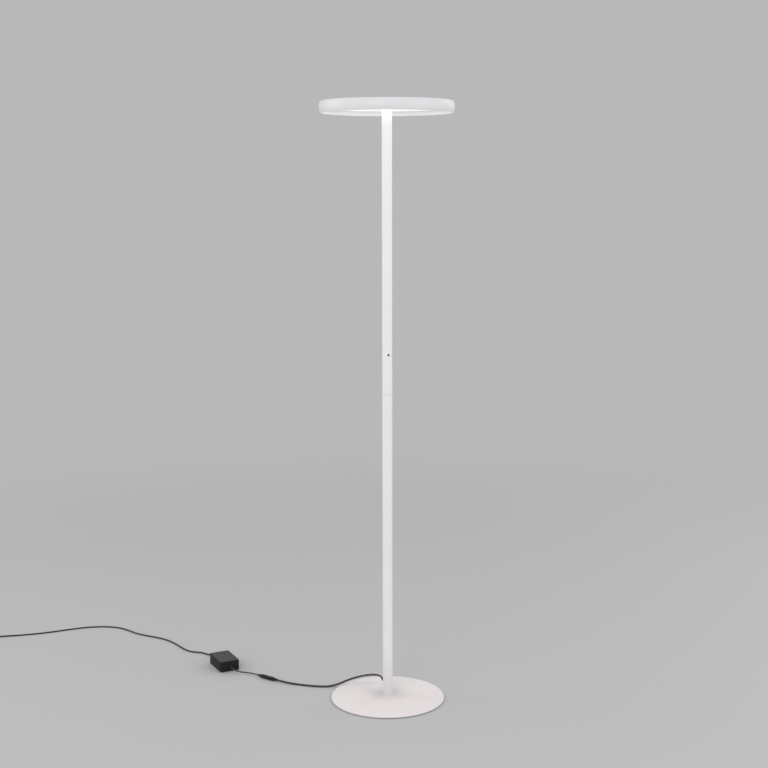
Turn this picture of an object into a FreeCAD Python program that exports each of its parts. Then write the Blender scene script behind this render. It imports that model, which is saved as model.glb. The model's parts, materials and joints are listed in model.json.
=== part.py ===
import FreeCAD, Part
import math
import os
from FreeCAD import Placement, Rotation, Vector

os.makedirs("parts", exist_ok=True)

# A floor lamp: round base, two-piece pole, and a flat round head that lights up and down.
# Millimetres. The origin is on the floor under the pole, +Z is up and the button faces -Y.

# Overall sizes
total_height = 1800.0
base_diameter = 346.0
head_diameter = 394.4
pole_diameter = 30.0
seam_height = 943.0
button_height = 1062.0

# Shared fits
fit_gap = 0.05
moving_gap = 0.3
cut_margin = 1.0

# Base
base_rim_height = 6.3
base_centre_height = 11.0
base_land_radius = 24.0
base_edge_round = 2.0
cover_wall = 1.2
cover_floor_gap = 1.2
crown_share = 0.66
pad_thickness = 2.0
pad_inset = 8.0
pad_hole_radius = 30.0
base_screw_radius = 5.0
base_screw_head_radius = 10.0
base_screw_head_height = 5.0
base_screw_reach = 20.0
base_screw_recess = 0.3
hex_key_width = 6.0
hex_key_depth = 3.0
dowel_radius = 2.0
dowel_length = 12.0
dowel_offset_share = 0.6

# Pole
tube_wall = 1.5
tube_chamfer = 0.5
foot_length = 22.0
coupler_length = 90.0
coupler_bore_radius = 9.0
grub_radius = 2.5
grub_length = 5.4
grub_key_width = 2.5
grub_key_depth = 2.5
grub_heights = (14.0, 32.0)
wire_radius = 0.9
wire_spacing = 2.6
wire_bend = 6.0

# Strain relief at the back of the pole
exit_height = 40.0
gland_flange_radius = 8.5
gland_flange_proud = 2.5
gland_neck_radius = 5.8
gland_lip_radius = 6.5
gland_lip_length = 1.4
gland_boot_length = 42.5
gland_boot_root_radius = 6.6
gland_boot_tip_radius = 4.6
gland_groove_count = 5
gland_groove_pitch = 6.5
gland_groove_width = 1.6
gland_groove_depth = 0.8
lamp_lead_diameter = 6.0

# Dimmer
button_radius = 3.0
button_proud = 1.2
button_travel = 1.0
button_dome = 0.5
button_flange_lip = 1.4
button_flange_thickness = 1.0
button_stem_radius = 2.2
plunger_radius = 1.75
plunger_length = 3.2
plunger_proud = 1.4
switch_width = 8.0
switch_depth_share = 1 / 3
board_edge_gap = 2.2
board_height = 84.0
board_thickness = 1.6
board_front = 2.6
board_slot_depth = 2.0
carrier_disc = 4.0
carrier_spine_wall = 2.0
carrier_spine_front = 4.0
carrier_hole_radius = 5.0
carrier_screw_height = 1075.0
m3_radius = 1.5
m3_head_radius = 2.8
m3_head_height = 1.8
terminal_size = (8.0, 4.5, 10.0)
terminal_inset = 8.0
power_switch_size = (10.0, 3.0, 10.0)
power_switch_drop = 16.0
controller_size = (8.0, 1.5, 6.0)
controller_rise = 4.0
filter_capacitor_radius = 3.0
filter_capacitor_height = 6.0
filter_capacitor_drop = 22.0

# Head
rim_height = 34.0
rim_bulge = 3.4
rim_wall = 1.8
rib_depth = 6.0
upper_recess = 2.5
diffuser_thickness = 2.0
diffuser_edge_gap = 0.4
upper_cavity = 5.5
plate_thickness = 2.0
plate_edge_gap = 0.3
plate_screw_count = 6
plate_screw_reach = 4.0
retainer_thickness = 1.6
retainer_width = 5.0
spacer_inset = 9.0
spacer_wall = 3.0
led_board_inset = 42.0
led_board_width = 38.0
led_board_thickness = 1.2
led_count = 36
led_size = 5.0
led_height = 0.8
led_terminal_size = (10.0, 16.0, 3.0)
led_terminal_inward = 9.0
link_hole_radius = 4.0
link_wire_radius = 0.7
link_wire_spacing = 4.0
hub_length = 43.0
hub_bore_radius = 5.5
hub_crown = 0.3
nipple_radius = 8.0
nipple_length = 5.6
hub_washer_radius = 13.0
hub_washer_thickness = 0.8
hub_nut_width = 22.0
hub_nut_thickness = 2.6
head_cable_radius = 2.0
head_cable_bend = 6.0
head_cable_gap = 0.5

# Inline connector on the lamp lead
connector_start = Vector(-302.7, 223.8, 0.0)
connector_heading = 128.75
connector_radius = 6.2
connector_half = 40.0
connector_boot_length = 16.0
connector_boot_root = 5.2
connector_boot_margin = 0.8
connector_ring_count = 4
connector_ring_start = 6.0
connector_ring_pitch = 4.0
connector_ring_depth = 0.5
connector_ring_width = 1.4
barrel_radius = 2.75
barrel_bore_radius = 1.25
barrel_length = 9.5
barrel_grip = 6.0
socket_depth = 11.0
socket_clearance = 0.1
socket_pin_radius = 1.0
socket_pin_length = 12.5
socket_pin_grip = 3.0
dc_lead_diameter = 4.0

# Adaptor
adaptor_place = Vector(-443.0, 409.5, 0.0)
adaptor_turn = 11.5
adaptor_length = 103.0
adaptor_width = 65.0
adaptor_height = 35.5
adaptor_wall = 2.2
adaptor_corner = 4.0
adaptor_edge = 2.0
adaptor_seam_chamfer = 0.5
adaptor_foot_radius = 4.5
adaptor_foot_height = 1.0
adaptor_foot_inset = 11.0
adaptor_post_radius = 2.5
adaptor_post_height = 3.0
adaptor_board_gap = 1.5
dc_boot_length = 10.0
dc_boot_root = 4.2
mains_boot_length = 20.0
mains_boot_root = 5.2
boot_neck_margin = 0.6
boot_tip_margin = 0.7
boot_lip_length = 2.0
mains_lead_diameter = 5.0
tall_part_gap = 4.0
transformer_gap = 6.0
core_size = (26.0, 24.0)
core_shift = 2.0
winding_radius = 9.5
winding_length = 28.0
bulk_capacitor_radius = 7.5
bulk_capacitor_place = (-12.0, 27.0)
choke_size = (14.0, 12.0, 14.0)
choke_place = (11.0, 28.0)
output_capacitor_radius = 4.5
output_capacitor_height = 15.0
output_capacitor_places = ((-15.0, -26.0), (-4.0, -26.0))
heat_sink_size = (3.0, 18.0, 15.0)
heat_sink_place = (9.5, -25.0)

# Put-away coil, tie and two-pin plug
coil_place = Vector(-1205.0, 880.0, 0.0)
coil_turn = 90.0
coil_inner_radius = 16.7
coil_turn_gap = 0.6
coil_half_turns_in = 6
coil_tail = 21.0
tie_thickness = 0.8
tie_width = 9.0
tie_gap = 0.3
tie_corner = 2.5
plug_thickness = 15.0
plug_floor_gap = 0.1
plug_length = 36.0
plug_width = 34.0
plug_outline = ((0.41, 0.0), (0.7, 0.28), (1.0, 0.6), (1.0, 1.0))
plug_corner = 3.0
plug_edge = 2.5
plug_boot_length = 24.0
plug_boot_root = 5.5
plug_boot_tip = 3.4
pin_radius = 2.0
pin_length = 19.0
pin_grip = 6.0
pin_spacing = 18.6
pin_tip = 1.0

# A cord's bend takes this share of the shorter run beside it
bend_share = 0.45

# Levels and radii that follow from the sizes above
pole_radius = pole_diameter / 2
tube_bore = pole_radius - tube_wall
insert_radius = tube_bore - fit_gap
dowel_offset = pole_radius * dowel_offset_share
switch_depth = pole_radius * switch_depth_share
base_radius = base_diameter / 2
head_radius = head_diameter / 2
rim_lip_radius = head_radius - rim_bulge
rim_inner_radius = rim_lip_radius - rim_wall
lip_level = total_height - rim_height
upper_diffuser_level = total_height - upper_recess - diffuser_thickness
plate_top = upper_diffuser_level - upper_cavity
plate_bottom = plate_top - plate_thickness
lower_cavity = 2 * (head_cable_radius + head_cable_gap)
rib_bottom = plate_bottom - lower_cavity
lower_diffuser_level = rib_bottom - diffuser_thickness
spacer_outer_radius = rim_inner_radius - spacer_inset
led_board_outer = rim_inner_radius - led_board_inset
led_board_inner = led_board_outer - led_board_width
led_circle_radius = (led_board_outer + led_board_inner) / 2
board_bottom = button_height - board_height / 2
board_top = board_bottom + board_height
board_width = 2 * (math.sqrt(insert_radius ** 2 - board_front ** 2) - board_edge_gap)
button_flange_radius = button_radius + button_flange_lip
coil_pitch = mains_lead_diameter + coil_turn_gap
plate_screw_circle = rim_inner_radius - rib_depth / 2
cable_level = rib_bottom + head_cable_gap + head_cable_radius


def save(name, *solids):
    shape = solids[0] if len(solids) == 1 else Part.makeCompound(list(solids))
    shape.exportStep(f"parts/{name}.step")


def disc(radius, bottom, top):
    return Part.makeCylinder(radius, top - bottom, Vector(0, 0, bottom))


def ring(outer, inner, bottom, top):
    return disc(outer, bottom, top).cut(disc(inner, bottom, top))


def rod(radius, start, end):
    return Part.makeCylinder(radius, (end - start).Length, start, end - start)


def taper(root_radius, tip_radius, start, end):
    return Part.makeCone(root_radius, tip_radius, (end - start).Length, start, end - start)


def block(low, high):
    size = high - low
    return Part.makeBox(size.x, size.y, size.z, low)


def hexagon(width, bottom, top):
    corner = width / math.sqrt(3)
    points = []
    for step in range(7):
        angle = math.radians(60 * step)
        points.append(Vector(corner * math.cos(angle), corner * math.sin(angle), bottom))
    return Part.Face(Part.makePolygon(points)).extrude(Vector(0, 0, top - bottom))


def line(start, end):
    return Part.LineSegment(start, end).toShape()


def arc(start, middle, end):
    return Part.Arc(start, middle, end).toShape()


def section(radius, height):
    return Vector(radius, 0, height)


def turned(edges):
    return Part.Face(Part.Wire(edges)).revolve(Vector(0, 0, 0), Vector(0, 0, 1), 360)


def around(shape, count):
    copies = []
    for index in range(count):
        copy = shape.copy()
        copy.rotate(Vector(0, 0, 0), Vector(0, 0, 1), 360 * index / count)
        copies.append(copy)
    return copies


def placed(shape, place, turn):
    moved = shape.copy()
    moved.Placement = Placement(place, Rotation(Vector(0, 0, 1), turn)).multiply(moved.Placement)
    return moved


def heading(turn):
    return Vector(math.cos(math.radians(turn)), math.sin(math.radians(turn)), 0)


def dome(radius, floor, rim, centre, edge_round):
    # A low crowned disc with a rounded edge and a flat land in the middle
    shoulder = section(radius - edge_round, rim)
    side_top = section(radius, rim - edge_round)
    lift = edge_round * (1 - math.sqrt(0.5))
    edge_middle = section(radius - lift, rim - lift)
    land = section(base_land_radius, centre)
    middle_radius = (shoulder.x + base_land_radius) / 2
    crown = section(middle_radius, rim + crown_share * (centre - rim))
    corner = section(radius, floor)
    axis_low = section(0, floor)
    axis_high = section(0, centre)
    return turned([
        line(axis_low, corner),
        line(corner, side_top),
        arc(side_top, edge_middle, shoulder),
        arc(shoulder, crown, land),
        line(land, axis_high),
        line(axis_high, axis_low),
    ])


def make_base():
    outer = dome(base_radius, cover_floor_gap, base_rim_height, base_centre_height, base_edge_round)
    inside_round = base_edge_round - cover_wall
    inner = dome(base_radius - cover_wall, cover_floor_gap, base_rim_height - cover_wall,
                 base_centre_height - cover_wall, inside_round)
    shrink = cover_wall + fit_gap
    weight = dome(base_radius - shrink, pad_thickness, base_rim_height - shrink,
                  base_centre_height - shrink, inside_round)

    head_bottom = pad_thickness + base_screw_recess
    head_top = head_bottom + base_screw_head_height
    screw_top = base_centre_height + base_screw_reach
    screw = taper(base_screw_head_radius, base_screw_radius, section(0, head_bottom), section(0, head_top))
    screw = screw.fuse(disc(base_screw_radius, head_top, screw_top))
    key = hexagon(hex_key_width, head_bottom, head_bottom + hex_key_depth)
    countersink = taper(base_screw_head_radius + fit_gap, base_screw_radius + fit_gap,
                        section(0, head_bottom), section(0, head_top))
    mouth = disc(base_screw_head_radius + fit_gap, pad_thickness, head_bottom)
    shank_hole = disc(base_screw_radius + fit_gap, cover_floor_gap, screw_top + fit_gap)

    dowel_low = Vector(dowel_offset, 0, head_top)
    dowel_high = dowel_low + Vector(0, 0, dowel_length)
    dowel_hole = rod(dowel_radius + fit_gap, dowel_low, dowel_high)

    foot = disc(insert_radius, base_centre_height, base_centre_height + foot_length)
    save("base_cover", outer.cut(inner).cut(shank_hole).cut(dowel_hole))
    save("base_weight", weight.cut(countersink).cut(mouth).cut(shank_hole).cut(dowel_hole))
    save("base_pad", ring(base_radius - pad_inset, pad_hole_radius, 0, pad_thickness))
    save("base_screw", screw.cut(key))
    save("foot_dowel", rod(dowel_radius, dowel_low, dowel_high))
    save("pole_foot", foot.cut(shank_hole).cut(dowel_hole))


def tube(bottom, top, chamfer_level):
    # A length of pole with its outer edge broken where it meets the other half
    body = ring(pole_radius, tube_bore, bottom, top)
    edges = [e for e in body.Edges if abs(e.CenterOfMass.z - chamfer_level) < fit_gap
             and abs(e.Curve.Radius - pole_radius) < fit_gap and e.isClosed()]
    return body.makeChamfer(tube_chamfer, edges)


def gland_tip():
    return Vector(0, pole_radius + gland_flange_proud + gland_boot_length, exit_height)


def make_gland():
    back = Vector(0, 1, 0)
    centre = Vector(0, 0, exit_height)
    # The lip sits just inside the bore, where its edge still clears the curved wall
    lip_front = math.sqrt(tube_bore ** 2 - gland_lip_radius ** 2) - moving_gap
    flange_face = pole_radius + gland_flange_proud
    lip = rod(gland_lip_radius, centre + back * (lip_front - gland_lip_length), centre + back * lip_front)
    neck = rod(gland_neck_radius, centre + back * (lip_front - gland_lip_length), centre + back * flange_face)
    saddle_start = math.sqrt(pole_radius ** 2 - gland_flange_radius ** 2) - moving_gap
    flange = rod(gland_flange_radius, centre + back * saddle_start, centre + back * flange_face)
    flange = flange.cut(disc(pole_radius + fit_gap, 0, seam_height))
    boot_start = centre + back * flange_face
    boot = taper(gland_boot_root_radius, gland_boot_tip_radius, boot_start, gland_tip())
    for index in range(gland_groove_count):
        along = gland_groove_pitch * (index + 1)
        share = along / gland_boot_length
        surface = gland_boot_root_radius + share * (gland_boot_tip_radius - gland_boot_root_radius)
        low = boot_start + back * (along - gland_groove_width / 2)
        high = low + back * gland_groove_width
        groove = rod(gland_boot_root_radius + cut_margin, low, high)
        boot = boot.cut(groove.cut(rod(surface - gland_groove_depth, low, high)))
    inner_end = centre + back * (lip_front - gland_lip_length)
    bore = rod(lamp_lead_diameter / 2 + fit_gap, inner_end, gland_tip())
    save("cable_gland", lip.fuse([neck, flange, boot]).cut(bore).removeSplitter())
    save("lamp_lead_inner", rod(lamp_lead_diameter / 2, inner_end - back, gland_tip()))
    return inner_end - back


def make_pole():
    back = Vector(0, 1, 0)
    lead_end = make_gland()
    lower = tube(base_centre_height, seam_height, seam_height)
    upper = tube(seam_height, plate_bottom, seam_height)
    gland_hole = rod(gland_neck_radius + fit_gap, Vector(0, 0, exit_height),
                     Vector(0, pole_radius + gland_flange_proud, exit_height))
    button_hole = rod(button_radius + moving_gap, Vector(0, 0, button_height),
                      Vector(0, -pole_radius - button_proud, button_height))
    screw_hole = rod(m3_radius + fit_gap, Vector(0, 0, carrier_screw_height),
                     Vector(0, pole_radius + m3_head_height, carrier_screw_height))
    cable_slot = block(Vector(-head_cable_radius - head_cable_gap, 0, rib_bottom + fit_gap),
                       Vector(head_cable_radius + head_cable_gap, pole_radius + cut_margin, plate_bottom))
    upper = upper.cut(button_hole).cut(screw_hole).cut(cable_slot)

    half = coupler_length / 2
    coupler = ring(insert_radius, coupler_bore_radius, seam_height - half, seam_height + half)
    grubs = []
    for height in grub_heights:
        outer_end = Vector(0, pole_radius - fit_gap, seam_height + height)
        grub = rod(grub_radius, outer_end - back * grub_length, outer_end)
        hole = rod(grub_radius + fit_gap, outer_end - back * (grub_length + cut_margin), outer_end + back)
        key = hexagon(grub_key_width, 0, grub_key_depth)
        key.rotate(Vector(0, 0, 0), Vector(1, 0, 0), 90)
        key.translate(outer_end)
        upper = upper.cut(hole)
        coupler = coupler.cut(hole)
        grubs.append(grub.cut(key))

    wires = []
    for side in (-1, 1):
        shift = Vector(side * wire_spacing / 2, 0, 0)
        turn_start = Vector(0, wire_bend, exit_height) + shift
        turn_end = Vector(0, 0, exit_height + wire_bend) + shift
        lift = wire_bend * (1 - math.sqrt(0.5))
        turn_middle = Vector(0, lift, exit_height + lift) + shift
        wire_end = Vector(0, 0, board_bottom + terminal_inset) + shift
        path = Part.Wire([
            line(lead_end + shift, turn_start),
            arc(turn_start, turn_middle, turn_end),
            line(turn_end, wire_end),
        ])
        wires.append(swept(path, wire_radius))

    save("lower_tube", lower.cut(gland_hole))
    save("upper_tube", upper)
    save("tube_coupler", coupler)
    save("coupler_screws", *grubs)
    save("pole_wires", *wires)


def swept(path, radius):
    first = path.OrderedEdges[0]
    start = first.valueAt(first.FirstParameter)
    direction = first.tangentAt(first.FirstParameter)
    profile = Part.Wire(Part.makeCircle(radius, start, direction))
    return path.makePipeShell([profile], True, False)


def make_dimmer():
    front = Vector(0, -1, 0)
    axis = Vector(0, 0, button_height)
    board_face = axis + front * board_front
    switch_face = board_face + front * switch_depth
    plunger_tip = switch_face + front * plunger_proud
    # The retaining flange stays clear of the curved bore behind the hole
    flange_front = axis + front * (math.sqrt(tube_bore ** 2 - button_flange_radius ** 2) - moving_gap)
    flange_back = flange_front - front * button_flange_thickness
    cap_face = axis + front * (pole_radius + button_proud)

    cap = rod(button_radius, flange_front, cap_face)
    rim_edges = [e for e in cap.Edges if abs(e.CenterOfMass.y - cap_face.y) < fit_gap]
    cap = cap.makeFillet(button_dome, rim_edges)
    flange = rod(button_flange_radius, flange_back, flange_front)
    stem = rod(button_stem_radius, plunger_tip, flange_back)
    save("dimmer_button", cap.fuse([flange, stem]).removeSplitter())

    plunger_end = plunger_tip - front * (plunger_length + plunger_proud - button_travel)
    save("switch_plunger", rod(plunger_radius, plunger_end, plunger_tip))
    half = switch_width / 2
    switch = block(Vector(-half, switch_face.y, button_height - half),
                   Vector(half, board_face.y, button_height + half))
    bore_end = plunger_end - front * (button_travel + moving_gap)
    save("switch_body", switch.cut(rod(plunger_radius + fit_gap, switch_face, bore_end)))

    board_back = -board_front + board_thickness
    board = block(Vector(-board_width / 2, -board_front, board_bottom),
                  Vector(board_width / 2, board_back, board_top))
    save("dimmer_board", board)

    def chip(size, bottom):
        low = Vector(-size[0] / 2, board_back, bottom)
        return block(low, low + Vector(*size))

    low_terminal = chip(terminal_size, board_bottom + terminal_inset)
    high_terminal = chip(terminal_size, board_top - terminal_inset - terminal_size[2])
    power_switch = chip(power_switch_size, button_height - power_switch_drop)
    controller = chip(controller_size, button_height + controller_rise)
    capacitor_foot = Vector(0, -board_front, button_height - filter_capacitor_drop)
    capacitor = rod(filter_capacitor_radius, capacitor_foot, capacitor_foot + front * filter_capacitor_height)
    save("dimmer_parts", low_terminal, high_terminal, power_switch, controller, capacitor)

    grip = board_slot_depth
    carrier_low = board_bottom + grip - carrier_disc
    carrier_high = board_top - grip + carrier_disc
    radius = insert_radius - fit_gap
    low_disc = ring(radius, carrier_hole_radius, carrier_low, carrier_low + carrier_disc)
    high_disc = ring(radius, carrier_hole_radius, carrier_high - carrier_disc, carrier_high)
    spine = ring(radius, radius - carrier_spine_wall, carrier_low, carrier_high)
    front_half = block(Vector(-radius, -radius, carrier_low),
                       Vector(radius, carrier_spine_front, carrier_high))
    slot = block(Vector(-board_width / 2 - fit_gap, -board_front - fit_gap, board_bottom - fit_gap),
                 Vector(board_width / 2 + fit_gap, board_back + fit_gap, board_top + fit_gap))
    screw_base = Vector(0, radius - carrier_spine_wall, carrier_screw_height)
    head_base = Vector(0, pole_radius + fit_gap, carrier_screw_height)
    screw_hole = rod(m3_radius + fit_gap, screw_base - Vector(0, cut_margin, 0), head_base)
    carrier = spine.cut(front_half).fuse([low_disc, high_disc]).cut(slot).cut(screw_hole)
    save("board_carrier", carrier.removeSplitter())

    head = rod(m3_head_radius, head_base, head_base + Vector(0, m3_head_height, 0))
    outer_edge = [e for e in head.Edges if abs(e.CenterOfMass.y - head_base.y - m3_head_height) < fit_gap]
    head = head.makeFillet(m3_head_height / 2, outer_edge)
    save("carrier_screw", head.fuse(rod(m3_radius, screw_base, head_base)).removeSplitter())


def make_rim():
    lip_round = (rim_lip_radius - rim_inner_radius) / 2
    lip_middle = rim_inner_radius + lip_round
    low = lip_level + lip_round
    high = total_height - lip_round
    rib_radius = rim_inner_radius - rib_depth
    inner_low = section(rim_inner_radius, low)
    outer_low = section(rim_lip_radius, low)
    outer_high = section(rim_lip_radius, high)
    inner_high = section(rim_inner_radius, high)
    rib = [
        section(rim_inner_radius, plate_bottom),
        section(rib_radius, plate_bottom),
        section(rib_radius, rib_bottom),
        section(rim_inner_radius, rib_bottom),
    ]
    rim = turned([
        arc(inner_low, section(lip_middle, lip_level), outer_low),
        arc(outer_low, section(head_radius, (low + high) / 2), outer_high),
        arc(outer_high, section(lip_middle, total_height), inner_high),
        line(inner_high, rib[0]),
        line(rib[0], rib[1]),
        line(rib[1], rib[2]),
        line(rib[2], rib[3]),
        line(rib[3], inner_low),
    ])
    hole = rod(m3_radius + fit_gap, Vector(plate_screw_circle, 0, plate_bottom - plate_screw_reach),
               Vector(plate_screw_circle, 0, plate_bottom))
    for copy in around(hole, plate_screw_count):
        rim = rim.cut(copy)
    return rim


def make_plate():
    plate = disc(rim_inner_radius - plate_edge_gap, plate_bottom, plate_top)
    plate = plate.cut(disc(nipple_radius + fit_gap, plate_bottom, plate_top))
    link_place = led_board_inner - led_terminal_inward / 2
    link_hole = rod(link_hole_radius, Vector(0, link_place, plate_bottom), Vector(0, link_place, plate_top))
    plate = plate.cut(link_hole)
    hole = rod(m3_radius + fit_gap, Vector(plate_screw_circle, 0, plate_bottom),
               Vector(plate_screw_circle, 0, plate_top))
    for copy in around(hole, plate_screw_count):
        plate = plate.cut(copy)
    screw_end = Vector(plate_screw_circle, 0, plate_bottom - plate_screw_reach)
    head_base = Vector(plate_screw_circle, 0, plate_top)
    screw = rod(m3_radius, screw_end, head_base)
    screw = screw.fuse(rod(m3_head_radius, head_base, head_base + Vector(0, 0, m3_head_height)))
    save("heat_plate", plate)
    save("plate_screws", *around(screw, plate_screw_count))


def make_lights():
    lower_face = plate_bottom - led_board_thickness
    upper_face = plate_top + led_board_thickness
    half = led_size / 2
    lower_led = block(Vector(led_circle_radius - half, -half, lower_face - led_height),
                      Vector(led_circle_radius + half, half, lower_face))
    upper_led = block(Vector(led_circle_radius - half, -half, upper_face),
                      Vector(led_circle_radius + half, half, upper_face + led_height))
    save("lower_led_board", ring(led_board_outer, led_board_inner, lower_face, plate_bottom))
    save("upper_led_board", ring(led_board_outer, led_board_inner, plate_top, upper_face))
    save("lower_leds", *around(lower_led, led_count))
    save("upper_leds", *around(upper_led, led_count))

    width, length, height = led_terminal_size
    inner_end = led_board_inner - led_terminal_inward
    lower_terminal = block(Vector(-width / 2, inner_end, lower_face - height),
                           Vector(width / 2, inner_end + length, lower_face))
    upper_terminal = block(Vector(-width / 2, inner_end, upper_face),
                           Vector(width / 2, inner_end + length, upper_face + height))
    save("led_terminals", lower_terminal, upper_terminal)
    links = []
    for side in (-1, 1):
        foot = Vector(side * link_wire_spacing / 2, led_board_inner - led_terminal_inward / 2, lower_face)
        links.append(rod(link_wire_radius, foot, foot + Vector(0, 0, upper_face - lower_face)))
    save("led_link_wires", *links)

    diffuser_radius = rim_inner_radius - diffuser_edge_gap
    save("lower_diffuser", ring(diffuser_radius, pole_radius + moving_gap, lower_diffuser_level, rib_bottom))
    save("upper_diffuser", disc(diffuser_radius, upper_diffuser_level, total_height - upper_recess))
    retainer_outer = rim_inner_radius - fit_gap
    save("diffuser_retainer", ring(retainer_outer, retainer_outer - retainer_width,
                                   lower_diffuser_level - retainer_thickness, lower_diffuser_level))
    save("upper_spacer", ring(spacer_outer_radius, spacer_outer_radius - spacer_wall,
                              plate_top, upper_diffuser_level))


def make_hub():
    bottom = plate_bottom - hub_length
    bore_top = plate_bottom - hub_crown
    slot_half = head_cable_radius + head_cable_gap
    slot_bottom = cable_level - head_cable_bend - head_cable_radius - head_cable_gap
    hub = disc(insert_radius, bottom, plate_bottom).cut(disc(hub_bore_radius, bottom, bore_top))
    slot = block(Vector(-slot_half, 0, slot_bottom), Vector(slot_half, pole_radius, bore_top))
    hub = hub.cut(slot).fuse(disc(nipple_radius, plate_bottom, plate_bottom + nipple_length))
    save("head_hub", hub.removeSplitter())
    washer_top = plate_top + hub_washer_thickness
    bore = disc(nipple_radius + fit_gap, plate_top, plate_top + nipple_length)
    save("hub_washer", disc(hub_washer_radius, plate_top, washer_top).cut(bore))
    save("hub_nut", hexagon(hub_nut_width, washer_top, washer_top + hub_nut_thickness).cut(bore))

    # The cable stands clear of the board's back face, where it leaves the terminal
    stand_off = board_thickness - board_front + head_cable_radius + moving_gap
    start = Vector(0, stand_off, board_top - terminal_inset)
    turn_start = Vector(0, stand_off, cable_level - head_cable_bend)
    turn_end = Vector(0, stand_off + head_cable_bend, cable_level)
    lift = head_cable_bend * (1 - math.sqrt(0.5))
    turn_middle = Vector(0, stand_off + lift, cable_level - lift)
    end = Vector(0, led_board_inner - led_terminal_inward, cable_level)
    path = Part.Wire([line(start, turn_start), arc(turn_start, turn_middle, turn_end), line(turn_end, end)])
    save("head_cable", swept(path, head_cable_radius))


def corner_arc(before, corner, after):
    # The tangent arc at a corner of a cord's route, as large as its two runs allow
    into = corner - before
    out = after - corner
    half_turn = into.getAngle(out) / 2
    cut = bend_share * min(into.Length, out.Length)
    radius = cut / math.tan(half_turn)
    into.normalize()
    out.normalize()
    towards = out - into
    towards.normalize()
    start = corner - into * cut
    end = corner + out * cut
    middle = corner + towards * (radius / math.cos(half_turn) - radius)
    return start, middle, end, radius


def cord(name, points, diameter):
    edges = []
    radii = []
    start = points[0]
    for before, corner, after in zip(points, points[1:], points[2:]):
        arc_start, arc_middle, arc_end, radius = corner_arc(before, corner, after)
        edges.append(line(start, arc_start))
        edges.append(arc(arc_start, arc_middle, arc_end))
        radii.append(radius)
        start = arc_end
    edges.append(line(start, points[-1]))
    path = Part.Wire(edges)
    solid = swept(path, diameter / 2)
    expected = math.pi * diameter ** 2 / 4 * path.Length
    print(name, "length", round(path.Length, 1), "volume over section times length",
          round(solid.Volume / expected, 4))
    print("  bend radii", [round(radius) for radius in radii],
          "lowest", round(solid.optimalBoundingBox().ZMin, 2))
    save(name, solid)


def connector_axis():
    return heading(connector_heading)


def connector_point(along):
    return connector_start + Vector(0, 0, connector_radius) + connector_axis() * along


def connector_half_body(face, inward, boot_tip_radius):
    # One moulded half, from its mating face back to the tip of its strain relief
    axis = connector_axis() * inward
    shoulder = face + axis * (connector_half - connector_boot_length)
    tip = face + axis * connector_half
    body = rod(connector_radius, face, shoulder)
    for index in range(connector_ring_count):
        low = face + axis * (connector_ring_start + connector_ring_pitch * index)
        high = low + axis * connector_ring_width
        outer = rod(connector_radius + cut_margin, low, high)
        body = body.cut(outer.cut(rod(connector_radius - connector_ring_depth, low, high)))
    return body.fuse(taper(connector_boot_root, boot_tip_radius, shoulder, tip)).removeSplitter()


def make_connector():
    axis = connector_axis()
    socket_face = connector_point(connector_half)
    plug_face = connector_point(connector_half + moving_gap)
    cavity_end = socket_face - axis * socket_depth
    pin_base = cavity_end - axis * socket_pin_grip
    socket = connector_half_body(socket_face, -1, lamp_lead_diameter / 2 + connector_boot_margin)
    socket = socket.cut(rod(barrel_radius + socket_clearance, cavity_end, socket_face))
    save("socket_body", socket.cut(rod(socket_pin_radius + fit_gap, pin_base, cavity_end)))
    save("socket_pin", rod(socket_pin_radius, pin_base, pin_base + axis * socket_pin_length))

    barrel_tip = plug_face - axis * barrel_length
    barrel_end = plug_face + axis * barrel_grip
    plug = connector_half_body(plug_face, 1, dc_lead_diameter / 2 + connector_boot_margin)
    save("dc_plug_body", plug.cut(rod(barrel_radius + fit_gap, plug_face, barrel_end)))
    barrel = rod(barrel_radius, barrel_tip, barrel_end)
    save("dc_plug_barrel", barrel.cut(rod(barrel_bore_radius, barrel_tip, barrel_end)))


def rounded_box(width, length, bottom, top, corner):
    low = Vector(-width / 2, -length / 2, bottom)
    body = block(low, Vector(width / 2, length / 2, top))
    return body.makeFillet(corner, [e for e in body.Edges if abs(e.Vertexes[0].Z - e.Vertexes[1].Z) > 1])


def level_edges(body, level):
    return [e for e in body.Edges if all(abs(v.Z - level) < fit_gap for v in e.Vertexes)]


def adaptor_shell(bottom, top, seam):
    # One half of the case: rounded outside, hollow, its mouth at the seam
    outer = rounded_box(adaptor_width, adaptor_length, bottom, top, adaptor_corner)
    closed = bottom if seam == top else top
    outer = outer.makeFillet(adaptor_edge, level_edges(outer, closed))
    outer = outer.makeChamfer(adaptor_seam_chamfer, level_edges(outer, seam))
    wall = adaptor_wall
    inner_bottom = bottom + wall if seam == top else bottom
    inner_top = top if seam == top else top - wall
    inner = rounded_box(adaptor_width - 2 * wall, adaptor_length - 2 * wall, inner_bottom, inner_top,
                        adaptor_corner - wall)
    return outer.cut(inner)


def boot(level, side, root_radius, lead_diameter, length):
    # A strain relief on one end of the case: lip inside, neck through the wall, tapered outside
    along = Vector(0, side, 0)
    wall_face = Vector(0, side * adaptor_length / 2, level)
    inside = wall_face - along * adaptor_wall
    neck_radius = root_radius - boot_neck_margin
    tip_radius = lead_diameter / 2 + boot_tip_margin
    lip = rod(root_radius, inside - along * (boot_lip_length + fit_gap), inside - along * fit_gap)
    neck = rod(neck_radius, inside - along * boot_lip_length, wall_face + along * fit_gap)
    sleeve = taper(root_radius, tip_radius, wall_face + along * fit_gap, wall_face + along * length)
    return lip.fuse([neck, sleeve]).removeSplitter()


def adaptor_seam():
    return (adaptor_foot_height + adaptor_height) / 2


def adaptor_point(along):
    # A point on the lead's level, this far from the adaptor's middle towards its mains end
    return adaptor_place + heading(adaptor_turn + 90) * along + Vector(0, 0, adaptor_seam())


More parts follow.
